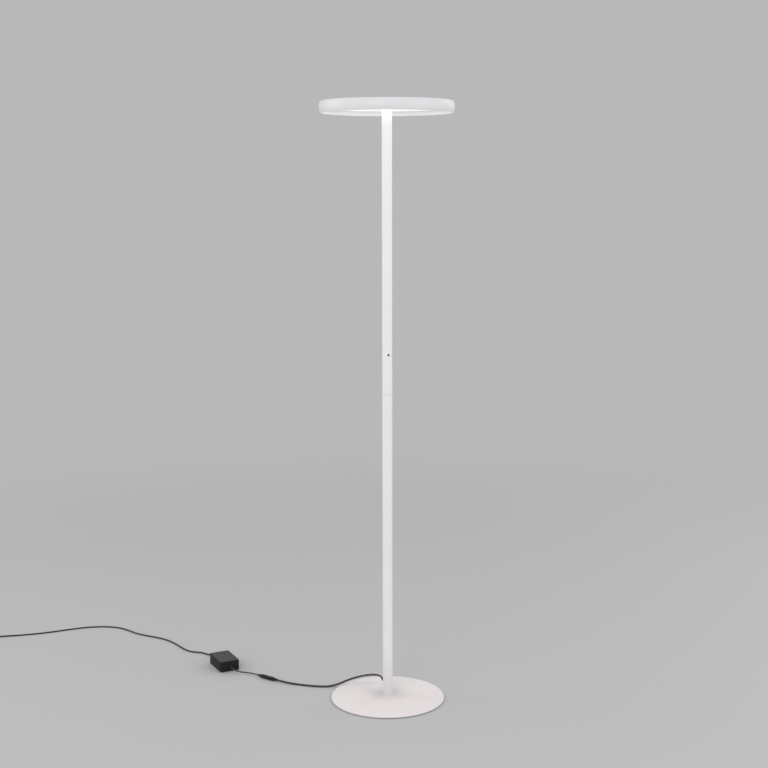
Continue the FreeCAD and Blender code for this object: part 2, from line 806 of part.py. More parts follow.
def make_adaptor():
    seam = adaptor_seam()
    inside_floor = adaptor_foot_height + adaptor_wall
    board_level = inside_floor + adaptor_post_height
    half_end = adaptor_length / 2
    bottom = adaptor_shell(adaptor_foot_height, seam, seam)
    top = adaptor_shell(seam, adaptor_height, seam)
    for side, root in ((-1, dc_boot_root), (1, mains_boot_root)):
        hole = rod(root - boot_neck_margin + fit_gap, Vector(0, side * (half_end - 2 * adaptor_wall), seam),
                   Vector(0, side * (half_end + cut_margin), seam))
        bottom = bottom.cut(hole)
        top = top.cut(hole)

    board_half_x = adaptor_width / 2 - adaptor_wall - adaptor_board_gap
    board_half_y = half_end - adaptor_wall - adaptor_board_gap - boot_lip_length
    board = block(Vector(-board_half_x, -board_half_y, board_level),
                  Vector(board_half_x, board_half_y, board_level + board_thickness))
    feet = []
    for x_side in (-1, 1):
        for y_side in (-1, 1):
            post = Vector(x_side * (board_half_x - adaptor_post_radius),
                          y_side * (board_half_y - adaptor_post_radius), inside_floor)
            bottom = bottom.fuse(rod(adaptor_post_radius, post, post + Vector(0, 0, adaptor_post_height)))
            foot = Vector(x_side * (adaptor_width / 2 - adaptor_foot_inset),
                          y_side * (half_end - adaptor_foot_inset), 0)
            feet.append(rod(adaptor_foot_radius, foot, foot + Vector(0, 0, adaptor_foot_height)))

    board_face = board_level + board_thickness
    ceiling = adaptor_height - adaptor_wall

    def upright(radius, place, top):
        foot = Vector(place[0], place[1], board_face)
        return rod(radius, foot, Vector(place[0], place[1], top))

    def component(size, place, top):
        low = Vector(place[0] - size[0] / 2, place[1] - size[1] / 2, board_face)
        return block(low, Vector(low.x + size[0], low.y + size[1], top))

    core = component(core_size, (0, core_shift), ceiling - transformer_gap)
    winding_start = Vector(0, core_shift - winding_length / 2, board_face + winding_radius)
    winding = rod(winding_radius, winding_start, winding_start + Vector(0, winding_length, 0))
    bulk_capacitor = upright(bulk_capacitor_radius, bulk_capacitor_place, ceiling - tall_part_gap)
    filter_choke = component(choke_size, choke_place, board_face + choke_size[2])
    output_capacitors = [upright(output_capacitor_radius, place, board_face + output_capacitor_height)
                         for place in output_capacitor_places]
    heat_sink = component(heat_sink_size, heat_sink_place, board_face + heat_sink_size[2])

    def at_adaptor(shape):
        return placed(shape, adaptor_place, adaptor_turn)

    save("adaptor_top", at_adaptor(top))
    save("adaptor_bottom", at_adaptor(bottom.removeSplitter()))
    save("adaptor_board", at_adaptor(board))
    save("adaptor_transformer", at_adaptor(core.fuse(winding)))
    small_parts = [bulk_capacitor, filter_choke, *output_capacitors, heat_sink]
    save("adaptor_parts", *[at_adaptor(part) for part in small_parts])
    save("adaptor_feet", *[at_adaptor(foot) for foot in feet])
    save("dc_boot", at_adaptor(boot(seam, -1, dc_boot_root, dc_lead_diameter, dc_boot_length)))
    save("mains_boot", at_adaptor(boot(seam, 1, mains_boot_root, mains_lead_diameter, mains_boot_length)))


def coil_levels():
    low = mains_lead_diameter / 2 + tie_thickness + tie_gap
    return low, low + coil_pitch


def coil_posts():
    # Where the spiral crosses the coil's own X axis: in along the lower layer, a climb in the
    # innermost half turn, and out along the upper layer
    low, high = coil_levels()
    posts = []
    for step in range(2 * coil_half_turns_in - 1):
        inside = step < coil_half_turns_in
        # The way out starts one step wider, to leave the climb free
        steps_out = coil_half_turns_in - step if inside else step - coil_half_turns_in + 1
        if step == coil_half_turns_in:
            steps_out = 0
        radius = coil_inner_radius + steps_out * coil_pitch / 2
        side = 1 if step % 2 == 0 else -1
        posts.append(Vector(side * radius, 0, low if inside else high))
    return posts


def coil_path():
    posts = coil_posts()
    lead_in = posts[0] - Vector(0, mains_lead_diameter, 0)
    edges = [line(lead_in, posts[0])]
    for step, (start, end) in enumerate(zip(posts, posts[1:])):
        side = 1 if step % 2 == 0 else -1
        apex = (start + end) / 2 + Vector(0, side * (end - start).Length / 2, 0)
        edges.append(arc(start, apex, end))
    edges.append(line(posts[-1], posts[-1] + Vector(0, coil_tail, 0)))
    return Part.Wire(edges)


def least_self_gap(path, diameter):
    points = path.discretize(Number=900)
    step = path.Length / (len(points) - 1)
    # Nearer along the cord than this, two points belong to the same stretch of it
    apart = int(5 * diameter / step)
    least = min((points[i] - points[j]).Length
                for i in range(len(points)) for j in range(i + apart, len(points)))
    return least - diameter


def make_coil():
    path = coil_path()
    solid = swept(path, mains_lead_diameter / 2)
    expected = math.pi * mains_lead_diameter ** 2 / 4 * path.Length
    print("mains_coil length", round(path.Length, 1), "volume over section times length",
          round(solid.Volume / expected, 4))
    print("  least self gap", round(least_self_gap(path, mains_lead_diameter), 2))
    save("mains_coil", placed(solid, coil_place, coil_turn))

    posts = coil_posts()
    low, high = coil_levels()
    cord_radius = mains_lead_diameter / 2
    inner_start = posts[coil_half_turns_in]
    inner_end = posts[coil_half_turns_in + 1]
    inner_apex = (inner_start - inner_end).Length / 2
    inner_offset = abs(inner_start.x + inner_end.x) / 2
    outer_apex = (posts[0] - posts[1]).Length / 2
    sag = (tie_width / 2 + inner_offset) ** 2 / (2 * inner_apex)
    inside_low = Vector(-tie_width / 2, inner_apex - cord_radius - sag - tie_gap, low - cord_radius - tie_gap)
    inside_high = Vector(tie_width / 2, outer_apex + cord_radius + tie_gap, high + cord_radius + tie_gap)
    wall = Vector(0, tie_thickness, tie_thickness)
    band = block(inside_low - wall, inside_high + wall)
    hollow = block(inside_low, inside_high)

    def long_edges(body):
        return [e for e in body.Edges if abs(e.Vertexes[0].X - e.Vertexes[1].X) > 1]

    band = band.makeFillet(tie_corner, long_edges(band))
    hollow = hollow.makeFillet(tie_corner - tie_thickness, long_edges(hollow))
    save("coil_tie", placed(band.cut(hollow), coil_place, coil_turn))


def make_plug():
    cord_end = coil_posts()[-1] + Vector(0, coil_tail, 0)
    middle = plug_thickness / 2 + plug_floor_gap
    neck = Vector(cord_end.x, cord_end.y + plug_boot_length, middle)
    face_y = neck.y + plug_length
    corner = Vector(neck.x, neck.y, plug_floor_gap)
    # Half widths and places along the body, as shares of its width and length
    outline = [(wide * plug_width / 2, far * plug_length) for wide, far in plug_outline]
    points = [corner + Vector(half, far, 0) for half, far in outline]
    points += [corner + Vector(-half, far, 0) for half, far in reversed(outline)]
    points.append(points[0])
    body = Part.Face(Part.makePolygon(points)).extrude(Vector(0, 0, plug_thickness))
    uprights = [e for e in body.Edges if abs(e.Vertexes[0].Z - e.Vertexes[1].Z) > 1]
    body = body.makeFillet(plug_corner, uprights)
    top = plug_floor_gap + plug_thickness
    body = body.makeFillet(plug_edge, level_edges(body, plug_floor_gap) + level_edges(body, top))

    along = Vector(0, 1, 0)
    root = Part.Wire(Part.makeCircle(plug_boot_root, neck + along * cut_margin, along))
    tip = Part.Wire(Part.makeCircle(plug_boot_tip, cord_end, along))
    sleeve = Part.makeLoft([tip, root], True, True)
    body = body.fuse(sleeve)
    pins = []
    for side in (-1, 1):
        face = Vector(neck.x + side * pin_spacing / 2, face_y, middle)
        pin = rod(pin_radius, face - along * pin_grip, face + along * pin_length)
        tip_edge = [e for e in pin.Edges if abs(e.CenterOfMass.y - face.y - pin_length) < fit_gap]
        pins.append(placed(pin.makeFillet(pin_tip, tip_edge), coil_place, coil_turn))
        body = body.cut(rod(pin_radius + fit_gap, face - along * pin_grip, face + along * cut_margin))
    save("mains_plug", placed(body.removeSplitter(), coil_place, coil_turn))
    save("mains_pins", *pins)


def make_cords():
    leave = gland_tip()
    axis = connector_axis()
    near_tip = connector_point(0)
    far_tip = connector_point(2 * connector_half + moving_gap)
    cord("lamp_lead", [
        leave,
        leave + Vector(0, 17, 0),
        Vector(-7, 100.5, 38.5),
        Vector(-27, 121.5, 33.5),
        Vector(-59, 135, 25.5),
        Vector(-95, 134, 18),
        Vector(-125, 131, 8.5),
        Vector(-153, 132.5, 3.5),
        Vector(-180, 140, 3),
        Vector(-208, 153.5, 3),
        Vector(-238, 172, 3),
        Vector(-267, 193, 3.3),
        near_tip - axis * 22,
        near_tip,
    ], lamp_lead_diameter)

    inward = heading(adaptor_turn + 90)
    dc_tip = adaptor_point(-adaptor_length / 2 - dc_boot_length)
    cord("dc_lead", [
        far_tip,
        far_tip + axis * 10,
        Vector(-367.5, 304.3, 4),
        Vector(-377, 313.6, 2.2),
        Vector(-388.5, 319.3, 2),
        Vector(-401.2, 321.6, 3.2),
        Vector(-413.2, 323.8, 7.4),
        Vector(-423, 329.2, 13),
        dc_tip - inward * 10,
        dc_tip,
    ], dc_lead_diameter)

    mains_tip = adaptor_point(adaptor_length / 2 + mains_boot_length)
    coil_start = placed(coil_path(), coil_place, coil_turn).OrderedVertexes[0].Point
    cord("mains_lead", [
        mains_tip,
        mains_tip + inward * 12,
        Vector(-463.3, 505, 14),
        Vector(-468.6, 516.2, 8.2),
        Vector(-475, 527, 3.8),
        Vector(-481.8, 538.5, 2.5),
        Vector(-490, 551, 2.5),
        Vector(-501.5, 561.8, 2.5),
        Vector(-517, 570, 2.5),
        Vector(-534, 582, 2.5),
        Vector(-549, 607, 2.5),
        Vector(-562, 645, 2.5),
        Vector(-578.5, 690, 2.5),
        Vector(-598, 727, 2.5),
        Vector(-625, 757, 2.5),
        Vector(-660, 789, 2.5),
        Vector(-692, 822, 2.5),
        Vector(-713, 860, 2.5),
        Vector(-737, 896, 2.5),
        Vector(-773, 922, 2.5),
        Vector(-818, 936, 2.5),
        Vector(-868, 938, 2.5),
        Vector(-920, 930, 2.5),
        Vector(-974, 919, 2.5),
        Vector(-1030, 911.5, 2.5),
        Vector(-1086, 911, 2.5),
        Vector(-1132, 913, 3),
        coil_start + Vector(34, 0, 0),
        coil_start,
    ], mains_lead_diameter)


make_base()
make_pole()
make_dimmer()
save("head_rim", make_rim())
make_plate()
make_lights()
make_hub()
make_connector()
make_adaptor()
make_coil()
make_plug()
make_cords()
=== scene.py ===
import json
import math
from functools import partial

import bmesh
import bpy
from mathutils import Matrix, Vector


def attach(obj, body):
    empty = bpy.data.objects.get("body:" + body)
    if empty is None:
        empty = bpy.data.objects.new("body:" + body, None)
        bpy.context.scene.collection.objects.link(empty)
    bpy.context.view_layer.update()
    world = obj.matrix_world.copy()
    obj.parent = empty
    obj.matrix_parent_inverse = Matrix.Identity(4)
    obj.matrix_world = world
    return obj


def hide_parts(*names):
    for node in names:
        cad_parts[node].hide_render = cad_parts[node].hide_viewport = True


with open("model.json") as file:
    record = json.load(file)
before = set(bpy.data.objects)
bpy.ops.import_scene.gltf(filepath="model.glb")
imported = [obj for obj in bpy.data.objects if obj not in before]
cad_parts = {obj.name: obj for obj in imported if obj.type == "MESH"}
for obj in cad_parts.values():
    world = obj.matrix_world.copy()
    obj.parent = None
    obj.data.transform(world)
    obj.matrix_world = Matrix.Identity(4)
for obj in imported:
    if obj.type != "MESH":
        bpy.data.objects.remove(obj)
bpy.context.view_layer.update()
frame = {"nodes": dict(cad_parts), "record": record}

nodes = frame["nodes"]
scene = bpy.context.scene
scene.view_settings.view_transform = "Standard"
mm = 0.001
print("frame:", len(nodes), "nodes")


def pick(sizes, names):
    return [sizes[name] for name in names.split()]


# camera at the photograph's angle

cameraView = {
    "place": (-1.065, -3.937, 1.555),
    "heading": 15.0,  # degrees from +Y towards +X
    "downTilt": 8.11, "roll": -0.114, "lens": 64.9, "sensor": 36.0,
}


def makeCamera(view):
    data = bpy.data.cameras.new("photoCamera")
    data.lens = view["lens"]
    data.sensor_width = view["sensor"]
    camera = bpy.data.objects.new("photoCamera", data)
    scene.collection.objects.link(camera)
    heading, tilt = math.radians(view["heading"]), math.radians(view["downTilt"])
    level = math.cos(tilt)
    forward = Vector((math.sin(heading) * level, math.cos(heading) * level, -math.sin(tilt)))
    turn = forward.to_track_quat("-Z", "Y").to_matrix().to_4x4()
    roll = Matrix.Rotation(math.radians(view["roll"]), 4, "Z")
    camera.matrix_world = Matrix.Translation(view["place"]) @ turn @ roll
    scene.camera = camera


makeCamera(cameraView)
print("camera set")


# helpers for node trees

def link(output, target):
    output.id_data.links.new(output, target)


def fedNode(kind, values, **settings):
    # a node in the tree of the sockets that feed it
    fed = {key: value for key, value in values.items() if isinstance(value, bpy.types.NodeSocket)}
    node = next(iter(fed.values())).id_data.nodes.new(kind)
    for key, value in settings.items():
        setattr(node, key, value)
    for key, value in values.items():
        if key in fed:
            link(value, node.inputs[key])
        else:
            node.inputs[key].default_value = value
    return node


def source(near, kind, label):
    # the output of a node that nothing feeds, in the tree of another socket
    return near.id_data.nodes.new(kind).outputs[label]


def attribute(near, name):
    value = source(near, "ShaderNodeAttribute", "Fac")
    value.node.attribute_name = name
    return value


def calc(operation, first, second=0.0):
    return fedNode("ShaderNodeMath", {0: first, 1: second}, operation=operation).outputs[0]


def weighted(first, second, share):
    return calc("ADD", calc("MULTIPLY", first, share), calc("MULTIPLY", second, 1 - share))


def blendColour(factor, first, second):
    return fedNode("ShaderNodeMix", {0: factor, 6: first, 7: second}, data_type="RGBA").outputs[2]


def laidOver(colour, mask, amount, top):
    return blendColour(calc("MULTIPLY", mask, amount), colour, top)


def spread(value, low, high, toLow=0.0, toHigh=1.0):
    # a smooth step from toLow to toHigh as the value goes from low to high
    return fedNode("ShaderNodeMapRange", {0: value, 1: low, 2: high, 3: toLow, 4: toHigh},
                   interpolation_type="SMOOTHSTEP").outputs[0]


def noise(vector, scale, detail=2.0, roughness=0.5, distortion=0.0):
    return fedNode("ShaderNodeTexNoise", {
        "Vector": vector, "Scale": scale, "Detail": detail, "Roughness": roughness,
        "Distortion": distortion}).outputs[0]


def heightOf(vector):
    return fedNode("ShaderNodeSeparateXYZ", {0: vector}).outputs["Z"]


def radiusOf(vector):
    flat = fedNode("ShaderNodeVectorMath", {0: vector, 1: (1, 1, 0)}, operation="MULTIPLY").outputs[0]
    return fedNode("ShaderNodeVectorMath", {0: flat}, operation="LENGTH").outputs["Value"]


def shaderGroup(name, build):
    # build gives the group's outputs by label, from a vector and one over the size
    tree = bpy.data.node_groups.new(name, "ShaderNodeTree")
    tree.interface.new_socket("Vector", in_out="INPUT", socket_type="NodeSocketVector")
    size = tree.interface.new_socket("Size", in_out="INPUT", socket_type="NodeSocketFloat")
    size.default_value = mm
    start = tree.nodes.new("NodeGroupInput").outputs
    results = build(start["Vector"], calc("DIVIDE", 1.0, start["Size"]))
    for label in results:
        tree.interface.new_socket(label, in_out="OUTPUT", socket_type="NodeSocketFloat")
    end = tree.nodes.new("NodeGroupOutput").inputs
    for label, value in results.items():
        link(value, end[label])
    return tree


# surface effects that several finishes share

def grainOfCoat(vector, perSize, peelScale=0.22, fineShare=0.6):
    fine = noise(vector, perSize, detail=2.0, roughness=0.55)
    peel = noise(vector, calc("MULTIPLY", perSize, peelScale), detail=1.0)
    return {"Height": weighted(fine, peel, fineShare), "Tone": spread(fine, 0.3, 0.7)}


def marksOfHands(vector, perSize, driftScale=0.2):
    smudge = noise(vector, perSize, detail=4.0, roughness=0.6, distortion=0.5)
    drift = noise(vector, calc("MULTIPLY", perSize, driftScale), detail=1.0)
    return {"Smudge": spread(smudge, 0.45, 0.75), "Drift": spread(drift, 0.3, 0.7)}


def dustOnTop(vector, perSize):
    facingUp = spread(heightOf(source(vector, "ShaderNodeNewGeometry", "Normal")), 0.6, 0.98)
    patches = noise(vector, perSize, detail=5.0, roughness=0.6)
    overlayAmount = spread(patches, 0.25, 0.75, 0.45, 1.0)  # thin all over, thicker in patches
    return {"Dust": calc("MULTIPLY", facingUp, overlayAmount)}


def rubOnEdges(vector, perSize):
    patches = spread(noise(vector, perSize, detail=5.0, roughness=0.6), 0.35, 0.65)
    return {"Rub": calc("MULTIPLY", attribute(vector, "edgeRub"), patches)}


def grainOfMould(vector, perSize, fineScale=2.5, cellShare=0.6):
    cells = fedNode("ShaderNodeTexVoronoi", {"Vector": vector, "Scale": perSize}, feature="SMOOTH_F1")
    fine = noise(vector, calc("MULTIPLY", perSize, fineScale), detail=2.0)
    height = weighted(cells.outputs["Distance"], fine, cellShare)
    return {"Height": height, "Tone": spread(height, 0.25, 0.75)}


def linesOfLathe(vector, perSize):
    along = calc("ADD", radiusOf(vector), heightOf(vector))
    lines = fedNode("ShaderNodeTexNoise", {
        "W": calc("MULTIPLY", along, perSize), "Scale": 1.0, "Detail": 4.0, "Roughness": 0.65},
        noise_dimensions="1D")
    return {"Lines": lines.outputs[0]}


coatGrain = shaderGroup("coatGrain", grainOfCoat)
handMarks = shaderGroup("handMarks", marksOfHands)
settledDust = shaderGroup("settledDust", dustOnTop)
edgeRub = shaderGroup("edgeRub", rubOnEdges)
mouldGrain = shaderGroup("mouldGrain", grainOfMould)
spunLines = shaderGroup("spunLines", linesOfLathe)
print("shared effects made")


# finishes: a usual look for each kind, and what a material changes in it; sizes in metres

def startMaterial(name):
    material = bpy.data.materials.new(name)
    material.use_nodes = True
    tree = material.node_tree
    return material, tree.nodes["Principled BSDF"].inputs, tree.nodes.new("ShaderNodeTexCoord").outputs


fixedSockets = {"metallic": "Metallic", "specular": "Specular IOR Level", "sheen": "Sheen Weight",
                "strength": "Emission Strength"}


def makeFinish(build, usual, name, **changes):
    # build gives the colour, the roughness, the bump's height and depth, and a glow if it has one
    look = {**usual, **changes}
    material, shader, coords = startMaterial(name)
    colour, rough, height, depth, *glow = build(coords, look)
    bump = fedNode("ShaderNodeBump", {"Strength": look["bump"], "Distance": depth, "Height": height})
    outputs = (colour, rough, bump.outputs[0], *glow)
    for label, output in zip(("Base Color", "Roughness", "Normal", "Emission Color"), outputs):
        link(output, shader[label])
    for key in fixedSockets.keys() & look.keys():
        shader[fixedSockets[key]].default_value = look[key]
    return material


def effect(group, vector, size):
    return fedNode("ShaderNodeGroup", {"Vector": vector, "Size": size}, node_tree=group).outputs


def opaque(colour):
    return (*colour, 1.0)


def tinted(colour, tint):
    return opaque(channel * factor for channel, factor in zip(colour, tint))


def drifted(marks, look):
    return blendColour(marks["Drift"], opaque(look["colour"]), tinted(look["colour"], look["driftTint"]))


def speckled(colour, grain, look):
    return laidOver(colour, grain["Tone"], look["speckle"], tinted(look["colour"], look["speckleTint"]))


def dusted(colour, at, look):
    dust = effect(settledDust, at, look["dustSize"])["Dust"]
    return laidOver(colour, dust, look["dust"], opaque(look["dustColour"]))


def smudged(marks, look):
    return spread(marks["Smudge"], 0.0, 1.0, look["roughness"], look["roughness"] + look["smudge"])


paintLook = {
    "grainSize": 0.0007, "grainDepth": 0.00004, "bump": 0.22, "markSize": 0.05,
    "driftTint": (0.975, 0.975, 0.97), "speckle": 0.1, "speckleTint": (0.86, 0.86, 0.87), "dust": 0.06,
    "dustSize": 0.012, "dustColour": (0.56, 0.53, 0.49), "rub": 0.5, "rubSize": 0.01,
    "rubTint": (0.9, 0.9, 0.9), "rubGloss": 0.12, "roughness": 0.42, "smudge": 0.08,
    "grimeTint": (0.3, 0.29, 0.28), "footShadeTint": (0.6, 0.59, 0.58), "footHeight": 0.011, "footRadius": 0.015,
}


def paintedMetal(coords, look):
    at, plain = coords["Object"], look["colour"]
    grain = effect(coatGrain, at, look["grainSize"])
    marks = effect(handMarks, at, look["markSize"])
    rub = effect(edgeRub, at, look["rubSize"])["Rub"]
    colour = dusted(speckled(drifted(marks, look), grain, look), at, look)
    colour = laidOver(colour, rub, look["rub"], tinted(plain, look["rubTint"]))
    # painted light: the inside of the hoop is paler, standing in for the light the diffuser throws on it
    if "lining" in look:
        colour = blendColour(attribute(at, "lining"), colour, opaque(look["lining"]))
    if "seam" in look:
        # a thin dark line: grime in the pole's joint, and painted shade along the base's hem just above the
        # floor
        away = calc("ABSOLUTE", calc("SUBTRACT", heightOf(at), look["seam"]))
        line = spread(away, *look["seamReach"], look["grime"], 0.0)
        colour = blendColour(line, colour, tinted(plain, look["grimeTint"]))
    if "footFilm" in look:
        # painted shade: darker up the pole's foot and in a ring round it on the base, where the pole meets
        # the base
        up = calc("SUBTRACT", heightOf(at), look["footHeight"])
        out = calc("SUBTRACT", radiusOf(at), look["footRadius"])
        overlayAmount = spread(calc("MAXIMUM", up, out), *look["footReach"], look["footFilm"], 0.0)
        colour = blendColour(overlayAmount, colour, tinted(plain, look["footShadeTint"]))
    rough = calc("SUBTRACT", smudged(marks, look), calc("MULTIPLY", rub, look["rubGloss"]))
    return colour, rough, grain["Height"], look["grainDepth"]


plasticLook = {
    "markSize": 0.02, "drift": 0.3, "driftTint": (0.8, 0.8, 0.82), "speckle": 0.35,
    "speckleTint": (1.35, 1.34, 1.33), "dust": 0.06, "dustSize": 0.0015, "dustColour": (0.36, 0.34, 0.32),
    "smudge": 0.1, "specular": 0.4, "bump": 0.35,
}


def mouldedPlastic(coords, look):
    at, plain = coords["Object"], look["colour"]
    grain = effect(mouldGrain, at, look["grainSize"])
    marks = effect(handMarks, at, look["markSize"])
    colour = speckled(opaque(plain), grain, look)
    colour = laidOver(colour, marks["Drift"], look["drift"], tinted(plain, look["driftTint"]))
    return dusted(colour, at, look), smudged(marks, look), grain["Height"], look["grainDepth"]


jacketLook = {
    "colour": (0.018, 0.018, 0.02), "driftTint": (1.5, 1.48, 1.45), "markSize": 0.03, "dust": 0.07,
    "dustSize": 0.006, "dustColour": (0.34, 0.32, 0.3), "roughness": 0.46, "smudge": 0.14,
    "lineScale": (3.0, 24.0, 1.0), "lineDepth": 0.00008, "bump": 0.3,
}


def jacketRubber(coords, look):
    marks = effect(handMarks, coords["Object"], look["markSize"])
    colour = dusted(drifted(marks, look), coords["Object"], look)
    # faint drawn lines run along the jacket
    along = fedNode("ShaderNodeMapping", {"Vector": coords["UV"], "Scale": look["lineScale"]})
    lines = noise(along.outputs[0], 1.0, detail=3.0, roughness=0.6)
    return colour, smudged(marks, look), lines, look["lineDepth"]


metalLook = {"markSize": 0.015, "driftTint": (0.86, 0.86, 0.87), "metallic": 1.0, "lineRise": 0.15,
             "smudge": 0.08, "bump": 0.25}


def workedMetal(coords, look):
    lines = effect(spunLines, coords["Object"], look["lineSize"])["Lines"]
    marks = effect(handMarks, coords["Object"], look["markSize"])
    rough = spread(lines, 0.25, 0.75, look["roughness"], look["roughness"] + look["lineRise"])
    rough = calc("ADD", rough, calc("MULTIPLY", marks["Smudge"], look["smudge"]))
    return drifted(marks, look), rough, lines, look["lineDepth"]


opalLook = {
    "colour": (0.3, 0.3, 0.29), "driftTint": (0.97, 0.97, 0.95), "grainSize": 0.0006, "grainDepth": 0.00003,
    "bump": 0.2, "markSize": 0.05, "roughness": 0.42, "smudge": 0.13, "specular": 0.3, "chipCircle": 0.131,
    "edge": 0.1916,
}


def litOpal(coords, look):
    at = coords["Object"]
    grain = effect(mouldGrain, at, look["grainSize"])
    marks = effect(handMarks, at, look["markSize"])
    radius = radiusOf(at)
    # one glow round the pole, another out to the circle of chips, softer at the rim
    rim = spread(radius, look["chipCircle"], look["edge"])
    core = spread(radius, *look["coreReach"], 1.0, 0.0)
    glow = blendColour(rim, opaque(look["fullGlow"]), opaque(look["rimGlow"]))
    glow = blendColour(core, glow, opaque(look["coreGlow"]))
    return drifted(marks, look), smudged(marks, look), grain["Height"], look["grainDepth"], glow


feltLook = {"colour": (0.07, 0.07, 0.075), "paleTint": (1.9, 1.9, 1.85), "roughness": (0.86, 0.98),
            "sheen": 0.3, "fibreSize": 0.0012, "fibreDepth": 0.0003, "bump": 0.6}


def feltFibre(coords, look):
    plain, scale = look["colour"], 1 / look["fibreSize"]
    fibres = noise(coords["Object"], scale, detail=8.0, roughness=0.75, distortion=1.5)
    colour = blendColour(spread(fibres, 0.3, 0.7), opaque(plain), tinted(plain, look["paleTint"]))
    return colour, spread(fibres, 0.2, 0.8, *look["roughness"]), fibres, look["fibreDepth"]


strapLook = {"colour": (0.012, 0.012, 0.013), "paleTint": (2.6, 2.6, 2.7), "roughness": (0.75, 0.95),
             "threads": 9.0, "waver": 0.6, "threadDepth": 0.00025, "fuzzSize": 0.0004, "bump": 0.6}


def wovenStrap(coords, look):
    plain = look["colour"]
    thread = {"Vector": coords["UV"], "Scale": look["threads"], "Distortion": look["waver"], "Detail": 1.0}
    waves = [fedNode("ShaderNodeTexWave", thread, bands_direction=way).outputs["Fac"] for way in ("X", "Y")]
    fuzz = noise(coords["Object"], 1 / look["fuzzSize"], detail=4.0, roughness=0.7)
    tone = calc("MULTIPLY", calc("MAXIMUM", *waves), fuzz)
    colour = blendColour(tone, opaque(plain), tinted(plain, look["paleTint"]))
    return colour, spread(fuzz, 0.2, 0.8, *look["roughness"]), tone, look["threadDepth"]


boardLook = {"traceBlur": 0.03, "roughness": 0.3, "smudge": 0.15, "bump": 0.3}


def circuitBoard(coords, look):
    at, edge = coords["Object"], look["traceEdge"]
    traces = fedNode("ShaderNodeTexVoronoi", {"Vector": at, "Scale": 1 / look["traceSize"]},
                     feature="F1", distance="MANHATTAN").outputs["Distance"]
    copper = spread(traces, edge, edge + look["traceBlur"])
    marks = effect(handMarks, at, look["markSize"])
    colour = blendColour(copper, opaque(look["colour"]), opaque(look["trace"]))
    return colour, smudged(marks, look), copper, look["traceDepth"]


paint = partial(makeFinish, paintedMetal, paintLook)
plastic = partial(makeFinish, mouldedPlastic, plasticLook)
metal = partial(makeFinish, workedMetal, metalLook)
board = partial(makeFinish, circuitBoard, boardLook)
opal = partial(makeFinish, litOpal, opalLook)

finishes = {
    # the pole's foot and the base round it are painted darker as shade where they meet
    "pole_paint": paint("polePaint", colour=(0.77, 0.757, 0.78), seam=0.943, seamReach=(0.0002, 0.0006),
                        grime=0.45, footReach=(0.0, 0.16), footFilm=0.45),
    # the dark line along the base's hem is painted shade under its edge
    "base_paint": paint("basePaint", colour=(0.745, 0.695, 0.702), roughness=0.5, dust=0.03, dustSize=0.005,
                        seam=0.0012, seamReach=(0.0006, 0.003), grime=0.7, footReach=(0.005, 0.065),
                        footFilm=0.3),
    # the hoop's inside and the diffuser's retainer get a paler copy of the head's paint, as painted light
    # from the diffuser
    "head_paint": paint("headPaint", colour=(0.67, 0.665, 0.685), lining=(0.92, 0.915, 0.92)),
    "lining_paint": paint("liningPaint", colour=(0.92, 0.915, 0.92)),
    "felt": makeFinish(feltFibre, feltLook, "greyFelt"),
    "lead_jacket": makeFinish(jacketRubber, jacketLook, "leadJacket"),
    "strap": makeFinish(wovenStrap, strapLook, "tieStrap"),
    "iron": metal("castIron", colour=(0.1, 0.1, 0.105), roughness=0.6, lineSize=0.002, lineDepth=0.0001,
                  metallic=0.6),
    # painted light: the top shell is paler than the bottom shell and its heavy dust lightens the top faces,
    # standing in for light from above; the dust is also real dust
    "case_top_plastic": plastic("caseTopPlastic", colour=(0.011, 0.01, 0.0115), roughness=0.55,
                                grainSize=0.0008, grainDepth=0.0001, dust=0.195, dustSize=0.0009,
                                specular=0.25),
    "circuit_board": board("circuitBoard", colour=(0.02, 0.14, 0.06), trace=(0.05, 0.24, 0.11),
                           traceSize=0.004, traceEdge=0.4, traceDepth=0.00004, markSize=0.01),
    "light_board": board("lightBoard", colour=(0.82, 0.82, 0.8), trace=(0.72, 0.72, 0.69), traceSize=0.009,
                         traceEdge=0.45, traceDepth=0.00003, markSize=0.02),
    "opal": opal("litOpal", coreReach=(0.025, 0.085), strength=3.5, coreGlow=(1.0, 0.955, 0.955),
                 fullGlow=(0.226, 0.221, 0.218), rimGlow=(0.196, 0.192, 0.19)),
    "up_opal": opal("upOpal", coreReach=(0.06, 0.15), strength=0.7, coreGlow=(0.86, 0.85, 0.84),
                    fullGlow=(1.0, 0.99, 0.98), rimGlow=(0.66, 0.65, 0.64)),
}
# plain metals: colour, roughness, size and depth of the tool's lines
plainMetals = {
    "steel": ("zincSteel", (0.55, 0.56, 0.58), 0.3, 0.0004, 0.00002),
    "turned_aluminium": ("turnedAluminium", (0.72, 0.73, 0.75), 0.28, 0.0005, 0.00003),
    "plate_aluminium": ("plateAluminium", (0.75, 0.76, 0.77), 0.35, 0.0012, 0.00002),
    "nickel": ("nickelPlate", (0.66, 0.64, 0.6), 0.18, 0.0004, 0.00001),
}
for finish, (name, colour, rough, size, depth) in plainMetals.items():
    finishes[finish] = metal(name, colour=colour, roughness=rough, lineSize=size, lineDepth=depth)
